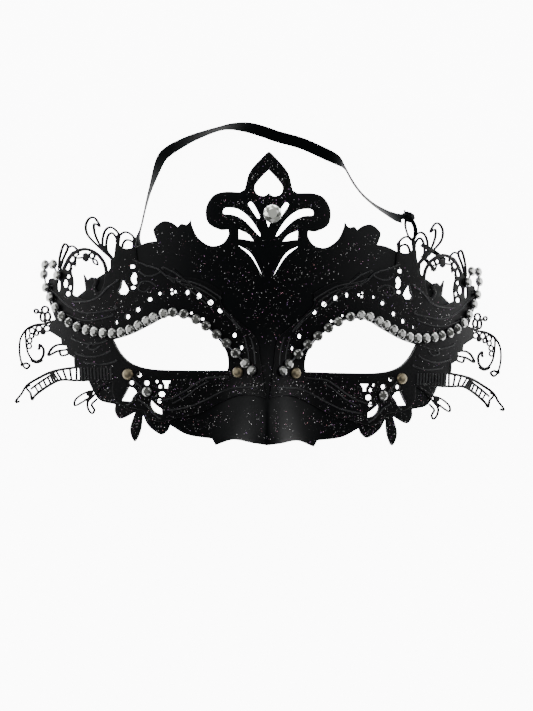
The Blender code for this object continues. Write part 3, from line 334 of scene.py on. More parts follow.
# Ribbon's route from behind the left temple to the knot on the right, heights in millimetres
RIBBON_ROUTE = rows(RibbonKey, [
    (-128.6, 42, 27.8, 4), (-128.4, 50, 26.8, 26), (-126.4, 62, 23.4, 76), (-122, 79, 16.6, 80),
    (-118, 94, 9.6, 78), (-113, 111, 5.2, 70), (-104, 137, 3.6, 38), (-96, 146.5, 3.4, 32),
    (-84, 154, 3.6, 42), (-70, 161, 3.8, 56), (-47, 169.4, 4.0, 70), (-32, 172.4, 3.9, 58),
    (-16, 171.6, 2.6, 30), (0, 167.6, 1.5, 10), (14, 163, 1.2, 4), (38, 156.7, 1.1, 0),
    (60, 147.5, 1.3, 6), (74, 140.5, 2.8, 42), (81, 133.5, 4.4, 84), (90, 118, 6.0, 87),
    (99, 106, 9.6, 87), (110, 95.6, 16.6, 84), (121, 88, 23.6, 72), (129, 84, 26.9, 56),
    (134.8, 82.4, 28.6, 45),
])
KNOT_PLACE = (141.4, 81.6)
KNOT_SIZE = (4.6 * MM, 3.6 * MM, 3.0 * MM)
KNOT_SWELL = 1.3
KNOT_FOLD = 0.1
KNOT_RISE = (0.2 * MM, 1.2 * MM, 0)

# Loose ends behind the curls: name, grid places, and width
LOOSE_ENDS = [
    ("ribbon_tail", [(157, 57), (161.3, 54.6), (169.5, 50.4), (176.7, 45.6), (182, 41.5)],
     2.6 * MM),
    ("ribbon_end", [(157.5, 45.8), (160, 43.4), (166.7, 36.6), (171.5, 30.6)], 2.2 * MM),
]
LOOSE_DEPTH = 2.4 * MM
LOOSE_TILT = 0.3
STRIP_THICKNESS = 0.5 * MM
STRIP_POINTS = 5
RIBBON_STEPS = 6

# Strips at the knot: name, places from the knot in millimetres with their tilts, and width
KNOT_STRIPS = [
    ("ribbon_tuck", [(-5.2, 0.6, 0.9, 0.7), (-2.4, 0.9, 0.7, 0.5), (0.4, 1.0, 0.4, 0.3)],
     3.4 * MM),
    ("ribbon_nub", [(-1.6, 1.6, 0.4, 0.4), (-2.2, 3.0, 0.6, 0.4), (-2.5, 3.9, 0.6, 0.4)],
     1.0 * MM),
    ("ribbon_loop", [(0.4, 0.8, 0.5, 0), (2.0, -1.6, 1.2, 0), (2.9, -4.4, 1.6, 0.2),
                     (3.0, -7.2, 1.3, 0.7), (2.6, -9.2, 0.2, 1.1), (1.9, -8.4, -1.3, 1.2),
                     (0.4, -5.8, -1.4, 1.2), (-1.0, -2.6, -0.8, 1.1), (-1.0, 0.2, -0.2, 1.0)],
     2.4 * MM),
]

# Raised lines on the lace, right half: brow leaves, sweeps beside the nose and under the eye
RAISED_LINES = [
    Strand(1.2, [(131.5, 35.4), (120, 31), (108.6, 27.4), (100, 20.4), (93.8, 15)]),
    Strand(1.1, [(103, 27.6), (93.8, 25), (87.1, 20.2), (76.6, 12.4), (66, 3.4), (57, -5.6)]),
    Strand(1.0, [(99, 20), (90, 16.4), (80, 9.6), (70, 1.2), (62, -5.6)]),
    Strand(1.1, [(92, 17.4), (84, 16.2), (71, 13.8), (58, 7.4), (47.6, -0.6)]),
    Strand(1.1, [(84, 12), (74, 10.8), (63, 6.2), (51.5, -2.6)]),
    Strand(1.2, [(50, -9), (42, -14.6), (31.8, -24.3), (26, -32)]),
    Strand(1.0, [(46.2, -12), (36, -21.6), (29, -31)]),
    Strand(1.1, [(22.4, -40), (20.6, -46), (18.6, -54), (17.6, -62)]),
    Strand(1.0, [(16.8, -40), (14.2, -46), (12.4, -55), (11.6, -66)]),
    Strand(1.2, [(40, -80.4), (50, -79.4), (60, -80.4), (70, -86), (81, -94), (93, -100.4),
                 (104, -103)]),
    Strand(1.0, [(58, -84), (68, -89.6), (79, -98.6), (92, -105.4)]),
    Strand(1.1, [(12, -92), (24, -89), (40, -92), (58, -101), (76, -109), (94, -112)]),
    Strand(1.1, [(105.8, 26), (114, 20.6), (122, 21.4), (125.6, 27)]),
    Strand(1.1, [(110, 10), (117, 15), (124.8, 13.4), (127, 7), (121, 4.4), (116.6, 8)]),
    Strand(1.1, [(148, 16), (157, 8), (166, -1.6), (177, -6), (190, -4)]),
    Strand(1.2, [(150, -10), (163, -16), (178, -17.6), (192, -12), (203, -2), (209, 9)]),
    Strand(1.1, [(152, -18), (168, -24.6), (184, -24), (197, -16.4)]),
    Strand(1.1, [(158, -44), (168, -48), (180, -47), (190, -42)]),
    Strand(1.1, [(154, -54), (164, -60), (176, -61), (186, -56.6)]),
    Strand(1.1, [(148, -64), (156, -67.6), (166, -68.6), (178, -66)]),
    Strand(1.1, [(164, -50), (168.4, -54), (174, -52.6), (173, -48.4), (169, -49)]),
    Strand(1.1, [(126, -103), (118, -108), (110, -117), (104, -121)]),
    Strand(1.1, [(137, -108), (129, -100), (123, -92), (128, -86), (134, -81)]),
    Strand(1.2, [(187, -60.4), (187.4, -66), (186.6, -72)]),
]
RIB_ROW = Strand(1.1, [(153, -72.4), (152.4, -83.2)])
RIB_COUNT = 10
RIB_STEP = 3.1
RAISED_HEIGHT = 0.35 * MM

# Bands of glitter on the shell, right half, as strength, reach in squares and run
SHELL_GLITTER = [
    Streak(1.0, 4.2, [(0, 134), (9, 126), (19, 112), (15, 101), (4, 99)]),
    Streak(1.0, 3.6, [(50, 94), (36, 94), (24, 90), (12, 74)]),
    Streak(0.9, 3.4, [(49, 78), (36, 77), (24, 70), (10, 57)]),
    Streak(0.5, 4, [(12, 52), (24, 44), (20, 30), (8, 24)]),
    Streak(0.55, 7, [(88, 56), (76, 46), (60, 40), (44, 44), (38, 34), (50, 26), (66, 30)]),
    Streak(0.5, 6, [(100, 62), (112, 54), (104, 44), (90, 40)]),
    Streak(0.55, 8, [(6, 10), (16, 2), (26, 6), (34, 16), (26, 24)]),
    Streak(0.5, 7, [(4, -10), (12, -18), (22, -12)]),
    Streak(0.6, 5, [(2, -28), (8, -34), (2, -42)]),
    Streak(1.0, 3.2, [(4, -66), (6, -80), (3, -96)]),
    Streak(1.0, 3.4, [(8, -112), (7, -124), (3, -140)]),
    Streak(0.9, 3.2, [(18, -116), (22, -126), (27, -138)]),
    Streak(0.9, 7, [(44, -118), (60, -126), (80, -128)]),
    Streak(1.0, 12, [(128, -128), (129, -142)]),
    Streak(1.0, 12, [(104, -126), (110, -122)]),
    Streak(1.0, 10, [(142, -114), (160, -96)]),
    Streak(0.6, 8, [(150, -60), (170, -80)]),
]
LACE_GLITTER = [
    Streak(1.0, 9, [(40, -80), (60, -86), (84, -92), (104, -96), (130, -96)]),
    Streak(0.9, 8, [(14, -88), (36, -92), (60, -106), (84, -114), (110, -116)]),
    Streak(0.6, 10, [(20, -42), (40, -20), (64, -4), (90, 8), (120, 4), (146, -16), (176, -20)]),
    Streak(0.35, 14, [(160, -40), (176, -60), (160, -78)]),
    Streak(0.3, 10, [(130, 30), (150, 10), (190, -6)]),
]

STREAK_STEPS = 4
STREAK_FADE = 1.6

# Black finishes: panel colours of the body and of its rim edges, lighter as wear and painted
# sheen, roughness from and to, share of the surface under glitter, depth of the grain and
# glitter flakes per metre
BLACK_LOOKS = {
    "shell_black": BlackLook("shell", "worn", (0.36, 0.5), 0.13, 0.012 * MM, 3600.0),
    "lace_black": BlackLook("lace", "worn", (0.42, 0.62), 0.11, 0.1 * MM, 3800.0),
    # The raised lines' lighter rims are a painted sheen in the raised line colour.
    "raised_black": BlackLook("lace", "line", (0.35, 0.5), 0.05, 0.03 * MM, 2600.0),
}
BLACK_SPECULAR = 0.05
BLACK_BUMP = 0.35

# Glitter: reach of a flake in its cell, share of silver ones, tint of the rest, contrast of the
# painted glints that make a few flakes bright, and the share of flakes that stray off the bands
FLAKE_REACH = 0.46
SILVER_SHARE = 0.72
FLAKE_TINT = 0.5
FLAKE_CONTRAST = 6.0
STRAY_FLAKES = 0.03
FINE_GRAIN = 1500.0

# Stones: brightness of the whole stone, and of its dark, middle and bright facets, which are
# painted shade and painted highlights
STONE_SHARES = {"cut_stone": 1.0, "clear_crown": 6.0}
PAINTED_FACET_TONES = (0.16, 0.72, 1.7)

# Painted facet light: middle value, painted shade and highlight by a facet's lean to the light,
# random spread between facets as painted reflections, and the painted light's side
FACET_MIDDLE = 0.42
PAINTED_LIGHT_LEAN = 0.28
PAINTED_REFLECTION_SPREAD = 0.75
PAINTED_LIGHT_SIDE = (0.6, 0.8)

# Metals without a colour in the panel, with their roughness
PLAIN_METALS = {
    "cup_metal": ((0.05, 0.05, 0.055), 0.35),
    "silver_claw": ((0.72, 0.72, 0.74), 0.25),
}

# Name, place in metres, size and share of the key light's power
SOFTBOXES = [
    ("left_softbox", (-0.9, 0.25, 0.75), (0.7, 0.9), 1.0),
    ("right_softbox", (0.9, 0.3, 0.75), (0.7, 0.9), 1.0),
    ("top_softbox", (0.0, 1.0, 0.8), (1.0, 0.5), 0.8),
    ("near_softbox", (0.1, -1.0, 0.7), (1.0, 0.5), 0.6),
]
SURROUND_STRENGTH = 0.12
SURROUND_COLOUR = (0.95, 0.96, 1.0, 1)
TABLE_REACH = 3.0
FLOOR_GLOW = 10.0


def smooth_step(share):
    """Ease shares between 0 and 1."""
    share = np.clip(share, 0, 1)
    return share * share * (3 - 2 * share)


def face_height(x, y):
    """Height of the shell's outer face over the floor."""
    side = SIDE_BEND * x * x / 2 + SIDE_CURL * x ** 4 / 4
    side = side - FLARE * np.maximum(0, np.abs(x) - FLARE_START) ** 2
    side = side * (1 + SIDE_TWIST * (y - TWIST_CENTRE))
    lean = CROWN_LEAN * (y - LEAN_CENTRE) ** 2
    growth = smooth_step((NOSE_TOP - y) / (NOSE_TOP - NOSE_BOTTOM))
    slim, broad = NOSE_HALF_WIDTH
    half_width = slim + (broad - slim) * growth
    nose = NOSE_HEIGHT * growth * np.exp(-(x / half_width) ** 2)
    return CREST_HEIGHT - side - lean + nose


def face_normals(x, y):
    """Unit normals of the outer face as rows."""
    step = 0.05 * MM
    slope_x = (face_height(x + step, y) - face_height(x - step, y)) / (2 * step)
    slope_y = (face_height(x, y + step) - face_height(x, y - step)) / (2 * step)
    normals = np.stack([-slope_x, -slope_y, np.ones_like(slope_x)], axis=-1)
    return normals / np.linalg.norm(normals, axis=-1, keepdims=True)


def face_points(x, y, offset):
    """Points at a distance from the face along its normals."""
    base = np.stack([x, y, face_height(x, y)], axis=-1)
    return base + face_normals(x, y) * np.asarray(offset)[..., None]


def face_point(x, y, offset=0.0):
    """One point over the face as a vector."""
    return Vector(face_points(np.float64(x), np.float64(y), offset))


def face_normal(x, y):
    """Normal at one place as a vector."""
    return Vector(face_normals(np.float64(x), np.float64(y)))


def on_grid(place, side=1):
    """Turn a place on the drawing grid into metres, mirrored when side is -1."""
    return Vector((side * place[0] * SQUARE, place[1] * SQUARE))


def plumb(x, y, offset):
    """Plan place on the face whose point at that distance from it shows over x, y."""
    near = Vector((x, y))
    for _ in range(3):
        normal = face_normal(*near)
        near = Vector((x - normal.x * offset, y - normal.y * offset))
    return near


def seat(x, y, offset):
    """Frame whose origin is over the face and whose third axis is the face's normal."""
    normal = face_normal(x, y)
    north = normal.cross(Vector((1, 0, 0))).normalized()
    east = north.cross(normal).normalized()
    axes = Matrix((east, north, normal)).transposed().to_4x4()
    return Matrix.Translation(face_point(x, y, offset)) @ axes


def curve_between(before, start, end, after, share):
    """Point on a smooth curve through four places."""
    square = share * share
    cube = square * share
    return 0.5 * (2 * start + (end - before) * share
                  + (2 * before - 5 * start + 4 * end - after) * square
                  + (3 * start - before - 3 * end + after) * cube)


def trace(keys, closed=True, steps=CURVE_STEPS):
    """Follow places on the grid, smooth but for the corners at sharp ones."""
    places = [np.array(key[:2], float) for key in keys]
    sharp = [SHARP in key for key in keys]
    count = len(places)
    outline = []
    for index in range(count if closed else count - 1):
        following = (index + 1) % count
        start, end = places[index], places[following]
        outline.append(start)
        if sharp[index] and sharp[following]:
            continue
        before = start * 2 - end if sharp[index] else places[index - 1]
        after = end * 2 - start if sharp[following] else places[(index + 2) % count]
        for step in range(1, steps):
            outline.append(curve_between(before, start, end, after, step / steps))
    if not closed:
        outline.append(places[-1])
    return np.array(outline)


def oval(hole, sides=OVAL_SIDES):
    """Outline of an oval opening."""
    turns = math.tau * (np.arange(sides) + 0.5) / sides
    return np.stack([hole.across + hole.width / 2 * np.cos(turns),
                     hole.up + hole.height / 2 * np.sin(turns)], axis=1)


def strand_bands(strand, steps=CURVE_STEPS):
    """Outline of a strand and, for a closed one, the outline of its inside."""
    if len(strand.places) == 2:
        steps = 1
    line = trace(strand.places, strand.closed, steps)
    ahead = np.roll(line, -1, axis=0)
    behind = np.roll(line, 1, axis=0)
    if not strand.closed:
        ahead[-1], behind[0] = line[-1], line[0]
    along = ahead - behind
    along = along / np.maximum(np.linalg.norm(along, axis=1, keepdims=True), 1e-9)
    across = np.stack([-along[:, 1], along[:, 0]], axis=1) * strand.width / 2
    left, right = line + across, line - across
    if strand.closed:
        return (left, right) if area(left) > area(right) else (right, left)
    nose = line[-1:] + along[-1:] * strand.width / 3
    tail = line[:1] - along[:1] * strand.width / 3
    return np.concatenate([left, nose, right[::-1], tail]), None


def area(outline):
    """Area inside an outline, always positive."""
    x, y = outline[:, 0], outline[:, 1]
    return abs(np.sum(x * np.roll(y, -1) - np.roll(x, -1) * y)) / 2


def wound(outline, points):
    """Which points an outline goes round."""
    start, end = outline, np.roll(outline, -1, axis=0)
    found = np.zeros(len(points), bool)
    for first in range(0, len(points), 4000):
        x = points[first:first + 4000, :1]
        y = points[first:first + 4000, 1:]
        left = ((end[:, 0] - start[:, 0]) * (y - start[:, 1])
                - (x - start[:, 0]) * (end[:, 1] - start[:, 1]))
        rising = (start[:, 1] <= y) & (y < end[:, 1]) & (left > 0)
        falling = (end[:, 1] <= y) & (y < start[:, 1]) & (left < 0)
        found[first:first + 4000] = rising.sum(axis=1) != falling.sum(axis=1)
    return found


class Region:
    """An outline with its openings, and the box round it."""

    def __init__(self, outline, openings=()):
        self.outline = outline
        self.openings = list(openings)
        self.low = outline.min(axis=0)
        self.high = outline.max(axis=0)

    def holds(self, points):
        """Which points are on the material."""
        on = wound(self.outline, points)
        for opening in self.openings:
            on &= ~wound(opening, points)
        return on

    def loops(self):
        """Every outline of the region."""
        return [self.outline] + self.openings


def covering(points, regions):
    """Which points lie on any region."""
    on = np.zeros(len(points), bool)
    for region in regions:
        near = ~on & np.all((points >= region.low) & (points <= region.high), axis=1)
        chosen = np.flatnonzero(near)
        on[chosen[region.holds(points[chosen])]] = True
    return on


def triangulate(loops, points=()):
    """Triangles through all the edges of the loops and through the points, all turning left."""
    places, edges = [], []
    for loop in loops:
        first = len(places)
        places.extend(Vector(place) for place in loop)
        edges.extend((first + i, first + (i + 1) % len(loop)) for i in range(len(loop)))
    places.extend(Vector(place) for place in points)
    found = delaunay_2d_cdt(places, edges, [], 0, JOIN_DISTANCE / SQUARE, False)
    places = np.array([place[:] for place in found[0]])
    triangles = np.array(found[2])
    a, b, c = (places[triangles[:, i]] for i in range(3))
    turn = (b[:, 0] - a[:, 0]) * (c[:, 1] - a[:, 1]) - (c[:, 0] - a[:, 0]) * (b[:, 1] - a[:, 1])
    triangles[turn < 0] = triangles[turn < 0][:, ::-1]
    return places, triangles


def rim_edges(triangles):
    """Directed edges that have a triangle on their left side only."""
    edges = np.concatenate([triangles[:, [0, 1]], triangles[:, [1, 2]], triangles[:, [2, 0]]])
    size = int(triangles.max()) + 1
    forward = edges[:, 0] * size + edges[:, 1]
    backward = edges[:, 1] * size + edges[:, 0]
    return edges[~np.isin(forward, backward)]


def union_rims(regions):
    """Outlines of all the regions taken together, with the material on the left."""
    places, triangles = triangulate([loop for region in regions for loop in region.loops()])
    triangles = triangles[covering(places[triangles].mean(axis=1), regions)]
    ahead = {}
    for start, end in rim_edges(triangles):
        ahead.setdefault(int(start), []).append(int(end))
    loops = []
    while ahead:
        here, loop = next(iter(ahead)), []
        while here in ahead:
            loop.append(places[here])
            targets = ahead[here]
            following = targets.pop()
            if not targets:
                del ahead[here]
            here = following
        loop = thin_out(loop)
        if len(loop) > 2:
            loops.append(np.array(loop))
    return loops


def thin_out(loop):
    """Drop places that lie too close to the one before."""
    kept = []
    for place in loop:
        if not kept or np.linalg.norm(place - kept[-1]) > SHORTEST_EDGE / SQUARE:
            kept.append(place)
    while len(kept) > 1 and np.linalg.norm(kept[0] - kept[-1]) < SHORTEST_EDGE / SQUARE:
        kept.pop()
    return kept


def inset(loop, distance):
    """The same outline moved into the material."""
    ahead = np.roll(loop, -1, axis=0) - loop
    ahead = ahead / np.maximum(np.linalg.norm(ahead, axis=1, keepdims=True), 1e-9)
    left = np.stack([-ahead[:, 1], ahead[:, 0]], axis=1)
    both = left + np.roll(left, 1, axis=0)
    size = np.sum(both * both, axis=1, keepdims=True)
    return loop + both * (2 * distance / SQUARE) / np.maximum(size, 1.2)


def streak_strength(places, streaks):
    """How thick the glitter lies at each place, from 0 to 1."""
    strength = np.zeros(len(places))
    for streak in streaks:
        line = trace(streak.places, False, STREAK_STEPS)
        for start, end in zip(line, line[1:]):
            span = end - start
            share = np.clip((places - start) @ span / max(span @ span, 1e-9), 0, 1)
            away = np.linalg.norm(places - start - share[:, None] * span, axis=1)
            here = streak.strength * smooth_step(STREAK_FADE - away / streak.reach)
            strength = np.maximum(strength, here)
    return strength


def plate(name, regions, low, high, edge, spacing, side=1, half=False, glitter=()):
    """A closed sheet over the regions between two distances from the face, its top edge rounded.

    With half, the sheet stays open along the midline, for a mirrored other half.
    """
    rims = union_rims(regions)
    box_low = np.min([rim.min(axis=0) for rim in rims], axis=0)
    box_high = np.max([rim.max(axis=0) for rim in rims], axis=0)
    steps = spacing / SQUARE
    points = [(x, y) for x in np.arange(box_low[0] + steps / 2, box_high[0], steps)
              for y in np.arange(box_low[1] + steps / 2, box_high[1], steps)]
    inner_rims = [inset(rim, edge) for rim in rims]
    if half:
        for rim, inner in zip(rims, inner_rims):
            inner[rim[:, 0] < 0.01, 0] = 0
        points += [(0, y) for y in np.arange(box_low[1] + steps / 2, box_high[1], steps)]
    places, triangles = triangulate(rims + inner_rims, points)
    triangles = triangles[covering(places[triangles].mean(axis=1), regions)]
    used, triangles = np.unique(triangles, return_inverse=True)
    triangles = triangles.reshape(-1, 3)
    places = places[used]
    rim = rim_edges(triangles)
    if half:
        middle = places[:, 0] < 0.01
        rim = rim[~(middle[rim[:, 0]] & middle[rim[:, 1]])]
    on_rim = np.zeros(len(places))
    on_rim[rim.ravel()] = 1
    count = len(places)
    x, y = places[:, 0] * SQUARE, places[:, 1] * SQUARE
    top = face_points(x, y, high - edge * on_rim)
    bottom = face_points(x, y, np.full(count, low))
    points = np.concatenate([top, bottom]) * (side, 1, 1)
    walls = np.stack([rim[:, 0] + count, rim[:, 1] + count, rim[:, 1], rim[:, 0]], axis=1)
    faces = triangles.tolist() + (triangles[:, ::-1] + count).tolist() + walls.tolist()
    if side < 0:
        faces = [face[::-1] for face in faces]
    mesh = bpy.data.meshes.new(name)
    mesh.from_pydata(points.tolist(), [], faces)
    # Rim marks for the lighter edges: wear on shell and lace, a painted sheen on the raised lines.
    add_values(mesh, "edge_wear", np.concatenate([on_rim, on_rim]))
    add_values(mesh, "glitter", np.tile(streak_strength(places, glitter), 2))
    return mesh


def add_values(mesh, name, values, domain="POINT"):
    """Store one number for each point or face of a mesh."""
    layer = mesh.attributes.new(name, "FLOAT", domain)
    layer.data.foreach_set("value", np.asarray(values, np.float32))


def add_piece(name, mesh, materials, replaces=(), smooth_angle=None):
    """Put a mesh in the scene as a piece that rides on the mask and stands for its nodes."""
    for material in materials:
        mesh.materials.append(material)
    if smooth_angle is not None:
        mesh.shade_smooth()
        mesh.set_sharp_from_angle(angle=math.radians(smooth_angle))
    piece = bpy.data.objects.new(name, mesh)
    bpy.context.scene.collection.objects.link(piece)
    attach(piece, "root")
    if replaces:
        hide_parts(*replaces)
    return piece


def weigh_normals(piece):
    """Keep flat faces looking flat beside their rounded edges."""
    piece.modifiers.new("even_normals", "WEIGHTED_NORMAL").keep_sharp = True


def feed(tree, value, entry):
    """Link an output to an input, or set the input to a plain value."""
    if isinstance(value, bpy.types.NodeSocket):
        tree.links.new(value, entry)
    else:
        entry.default_value = value


def add_node(tree, kind, **values):
    """Add a node with its own options, and with inputs fed by name."""
    node = tree.nodes.new(kind)
    inputs = values.pop("inputs", {})
    for name, value in values.items():
        setattr(node, name, value)
    for name, value in inputs.items():
        feed(tree, value, node.inputs[name])
    return node


def calc(tree, operation, *values):
    """Result of a maths node over outputs and plain numbers."""
    node = add_node(tree, "ShaderNodeMath", operation=operation)
    for value, entry in zip(values, node.inputs):
        feed(tree, value, entry)
    return node.outputs[0]


def mixed(tree, factor, first, second):
    """Result of a mix of two colours."""
    node = add_node(tree, "ShaderNodeMix", data_type="RGBA",
                    inputs={"Factor": factor, "A": first, "B": second})
    return node.outputs["Result"]


def stored(tree, name):
    """Value that the mesh stores under a name."""
    return add_node(tree, "ShaderNodeAttribute", attribute_name=name).outputs["Fac"]


def shade(colour, share=1.0):
    """A colour made darker or lighter, with full cover."""
    return tuple(min(1, part * share) for part in colour) + (1,)


def new_group(name, entries, exits):
    """A shader node group with named number inputs and its outputs."""
    tree = bpy.data.node_groups.new(name, "ShaderNodeTree")
    for label, value in entries.items():
        socket = tree.interface.new_socket(label, in_out="INPUT", socket_type="NodeSocketFloat")
        socket.default_value = value
    for label, kind in exits.items():
        tree.interface.new_socket(label, in_out="OUTPUT", socket_type=kind)
    return tree, tree.nodes.new("NodeGroupInput").outputs, tree.nodes.new("NodeGroupOutput").inputs


def glitter_group():
    """Loose flakes, mostly silver with a few tinted ones, as a mask and a colour; each flake's
    brightness is a painted glint, high on only a few.
    """
    tree, given, result = new_group("Glitter Flakes", {"Density": 0.3, "Flakes per Metre": 2300.0},
                                    {"Mask": "NodeSocketFloat", "Color": "NodeSocketColor"})
    place = add_node(tree, "ShaderNodeTexCoord").outputs["Object"]
    cells = add_node(tree, "ShaderNodeTexVoronoi",
                     inputs={"Vector": place, "Scale": given["Flakes per Metre"]})
    parts = add_node(tree, "ShaderNodeSeparateColor", inputs={"Color": cells.outputs["Color"]})
    chance, painted_glint, hue = parts.outputs
    lit = calc(tree, "LESS_THAN", chance, given["Density"])
    body = calc(tree, "LESS_THAN", cells.outputs["Distance"], FLAKE_REACH)
    tinted = calc(tree, "GREATER_THAN", hue, SILVER_SHARE)
    # The flakes' value is a painted glint: a random brightness raised to a power, so few flakes
    # shine.
    tint = add_node(tree, "ShaderNodeCombineColor", mode="HSV",
                    inputs={"Red": hue, "Green": calc(tree, "MULTIPLY", tinted, FLAKE_TINT),
                            "Blue": calc(tree, "POWER", painted_glint, FLAKE_CONTRAST)})
    feed(tree, calc(tree, "MULTIPLY", lit, body), result["Mask"])
    feed(tree, tint.outputs["Color"], result["Color"])
    return tree


def grain_group():
    """Fine uneven grain of a moulded or painted surface, as a height and a slow cloud."""
    tree, given, result = new_group("Fine Grain", {"Grain per Metre": FINE_GRAIN},
                                    {"Height": "NodeSocketFloat", "Cloud": "NodeSocketFloat"})
    place = add_node(tree, "ShaderNodeTexCoord").outputs["Object"]
    for scale, detail, label in ((given["Grain per Metre"], 3.0, "Height"), (45.0, 2.0, "Cloud")):
        noise = add_node(tree, "ShaderNodeTexNoise",
                         inputs={"Vector": place, "Scale": scale, "Detail": detail})
        feed(tree, noise.outputs[0], result[label])
    return tree


def group_node(tree, name, build, **inputs):
    """A node of the shared group of that name, which is built once."""
    group = bpy.data.node_groups.get(name) or build()
    return add_node(tree, "ShaderNodeGroup", node_tree=group, inputs=inputs).outputs


def grain_of(tree, per_metre=FINE_GRAIN):
    """Outputs of the grain group at a fineness."""
    return group_node(tree, "Fine Grain", grain_group, **{"Grain per Metre": per_metre})


def start_material(name, colour, roughness, metallic=0.0, specular=0.5):
    """A Principled material with its plain values set on the shader itself."""
    material = bpy.data.materials.new(name)
    material.use_nodes = True
    shader = material.node_tree.nodes["Principled BSDF"]
    shader.inputs["Base Color"].default_value = shade(colour)
    shader.inputs["Roughness"].default_value = roughness
    shader.inputs["Metallic"].default_value = metallic
    shader.inputs["Specular IOR Level"].default_value = specular
    return material, material.node_tree, shader


def bump_from(tree, shader, height, strength, distance):
    """Feed a height to the shader's normal."""
    bump = add_node(tree, "ShaderNodeBump",
                    inputs={"Strength": strength, "Distance": distance, "Height": height})
    feed(tree, bump.outputs["Normal"], shader.inputs["Normal"])


def black_finish(name, look):
    """Black finish with rim edges lightened as wear and painted sheen, grain and glitter where the
    piece carries it.
    """
    colours = bpy.context.scene.mask_colours
    body, worn = getattr(colours, look.body), getattr(colours, look.worn)
    smooth, rough = look.roughness
    material, tree, shader = start_material(name, body, smooth, specular=BLACK_SPECULAR)
    grain = grain_of(tree)
    # Lighter rims: wear on shell and lace, a painted sheen on the raised lines, broken up by the
    # grain's cloud.
    rubbed_and_sheen = calc(tree, "MULTIPLY", stored(tree, "edge_wear"), grain["Cloud"])
    dust = calc(tree, "MULTIPLY_ADD", stored(tree, "glitter"), look.density,
                look.density * STRAY_FLAKES)
    flakes = group_node(tree, "Glitter Flakes", glitter_group,
                        **{"Density": dust, "Flakes per Metre": look.flakes})
    base = mixed(tree, rubbed_and_sheen, shade(body), shade(worn))
    feed(tree, mixed(tree, flakes["Mask"], base, flakes["Color"]), shader.inputs["Base Color"])
    spread = add_node(tree, "ShaderNodeMapRange",
                      inputs={"Value": grain["Cloud"], "To Min": smooth, "To Max": rough})
    feed(tree, spread.outputs["Result"], shader.inputs["Roughness"])
    bump_from(tree, shader, grain["Height"], BLACK_BUMP, look.grain_depth)
    return material


def stone_finish(name, colour):
    """Clear cut stone over a silver foil, with painted shade and painted highlights on its facets:
    each facet's stored value picks a dark, middle or bright tone.
    """
    material, tree, shader = start_material(name, colour, 0.08, 0.35, 0.8)
    ramp = add_node(tree, "ShaderNodeValToRGB", inputs={"Fac": stored(tree, "facet")})
    steps = ramp.color_ramp.elements
    steps.new(0.5)
    for step, share in zip(steps, PAINTED_FACET_TONES):
        step.color = shade(colour, share)
    feed(tree, ramp.outputs["Color"], shader.inputs["Base Color"])
    shader.inputs["Coat Weight"].default_value = 0.6
    return material


def metal_finish(name, colour, roughness):
    """Bare metal with fine rubbed grain and duller clouds."""
    material, tree, shader = start_material(name, colour, roughness, 1.0)
    grain = grain_of(tree, 3000.0)
    tone = mixed(tree, grain["Height"], shade(colour, 0.62), shade(colour))
    feed(tree, tone, shader.inputs["Base Color"])
    bump_from(tree, shader, grain["Height"], 0.2, 0.02 * MM)
    return material


def satin_finish(name, colour):
    """Black satin with its fine weave across the ribbon."""
    material, tree, shader = start_material(name, colour, 0.6, 0.0, 0.01)
    shader.inputs["Sheen Weight"].default_value = 0.01
    flat = add_node(tree, "ShaderNodeUVMap", uv_map="ribbon").outputs["UV"]
    weave = add_node(tree, "ShaderNodeTexWave", wave_type="BANDS", bands_direction="DIAGONAL",
                     inputs={"Vector": flat, "Scale": 900.0, "Distortion": 1.2, "Detail": 1.0})
    threads = weave.outputs["Fac"]
    feed(tree, mixed(tree, threads, shade(colour, 0.7), shade(colour, 1.8)),
         shader.inputs["Base Color"])
    bump_from(tree, shader, threads, 0.3, 0.05 * MM)
    return material


def material_for(name):
    """The finish of that name, built once from the colours in the panel."""
    found = bpy.data.materials.get(name)
    if found:
        return found
    colours = bpy.context.scene.mask_colours
    if name in BLACK_LOOKS:
        return black_finish(name, BLACK_LOOKS[name])
    if name in STONE_SHARES:
        return stone_finish(name, shade(colours.stone, STONE_SHARES[name])[:3])
    if name in PLAIN_METALS:
        return metal_finish(name, *PLAIN_METALS[name])
    if name == "dull_brass":
        return metal_finish(name, tuple(colours.brass), 0.42)
    return satin_finish(name, tuple(colours.ribbon))


class Solid:
    """Points and faces of one mesh, with a material number and a painted light value for each
    face, which the stone finish reads as painted facet shade and highlight.
    """

    def __init__(self):
        self.points, self.faces, self.looks, self.painted_facets = [], [], [], []

    def add(self, points, faces, look=0, painted_facets=None):
        """Add a closed body."""
        first = len(self.points)
        self.points.extend(points)
        self.faces.extend([first + corner for corner in face] for face in faces)
        self.looks.extend([look] * len(faces))
        self.painted_facets.extend(painted_facets or [0.5] * len(faces))

    def mesh(self, name):
        """The finished mesh."""
        mesh = bpy.data.meshes.new(name)
        mesh.from_pydata(self.points, [], self.faces)
        mesh.polygons.foreach_set("material_index", self.looks)
        add_values(mesh, "facet", self.painted_facets, "FACE")
        return mesh


def ring_points(place, radius, height, sides, turn=0.0):
    """A ring of points round a frame's third axis."""
    return [place @ Vector((radius * math.cos(math.tau * (i + turn) / sides),
                            radius * math.sin(math.tau * (i + turn) / sides), height))
            for i in range(sides)]


def turned(solid, place, profile, sides, look=0):
    """A closed turned body from radius and height pairs."""
    points = [spot for radius, height in profile
              for spot in ring_points(place, radius, height, sides)]
    faces = [list(range(sides))[::-1]]
    for row in range(len(profile) - 1):
        for i in range(sides):
            after = (i + 1) % sides
            faces.append([row * sides + i, row * sides + after, (row + 1) * sides + after,
                          (row + 1) * sides + i])
    faces.append([(len(profile) - 1) * sides + i for i in range(sides)])
    solid.add(points, faces, look)


def scattered(number, seed):
    """A repeatable number between 0 and 1."""
    return math.sin(number * 12.9898 + seed * 78.233) * 43758.5453 % 1.0


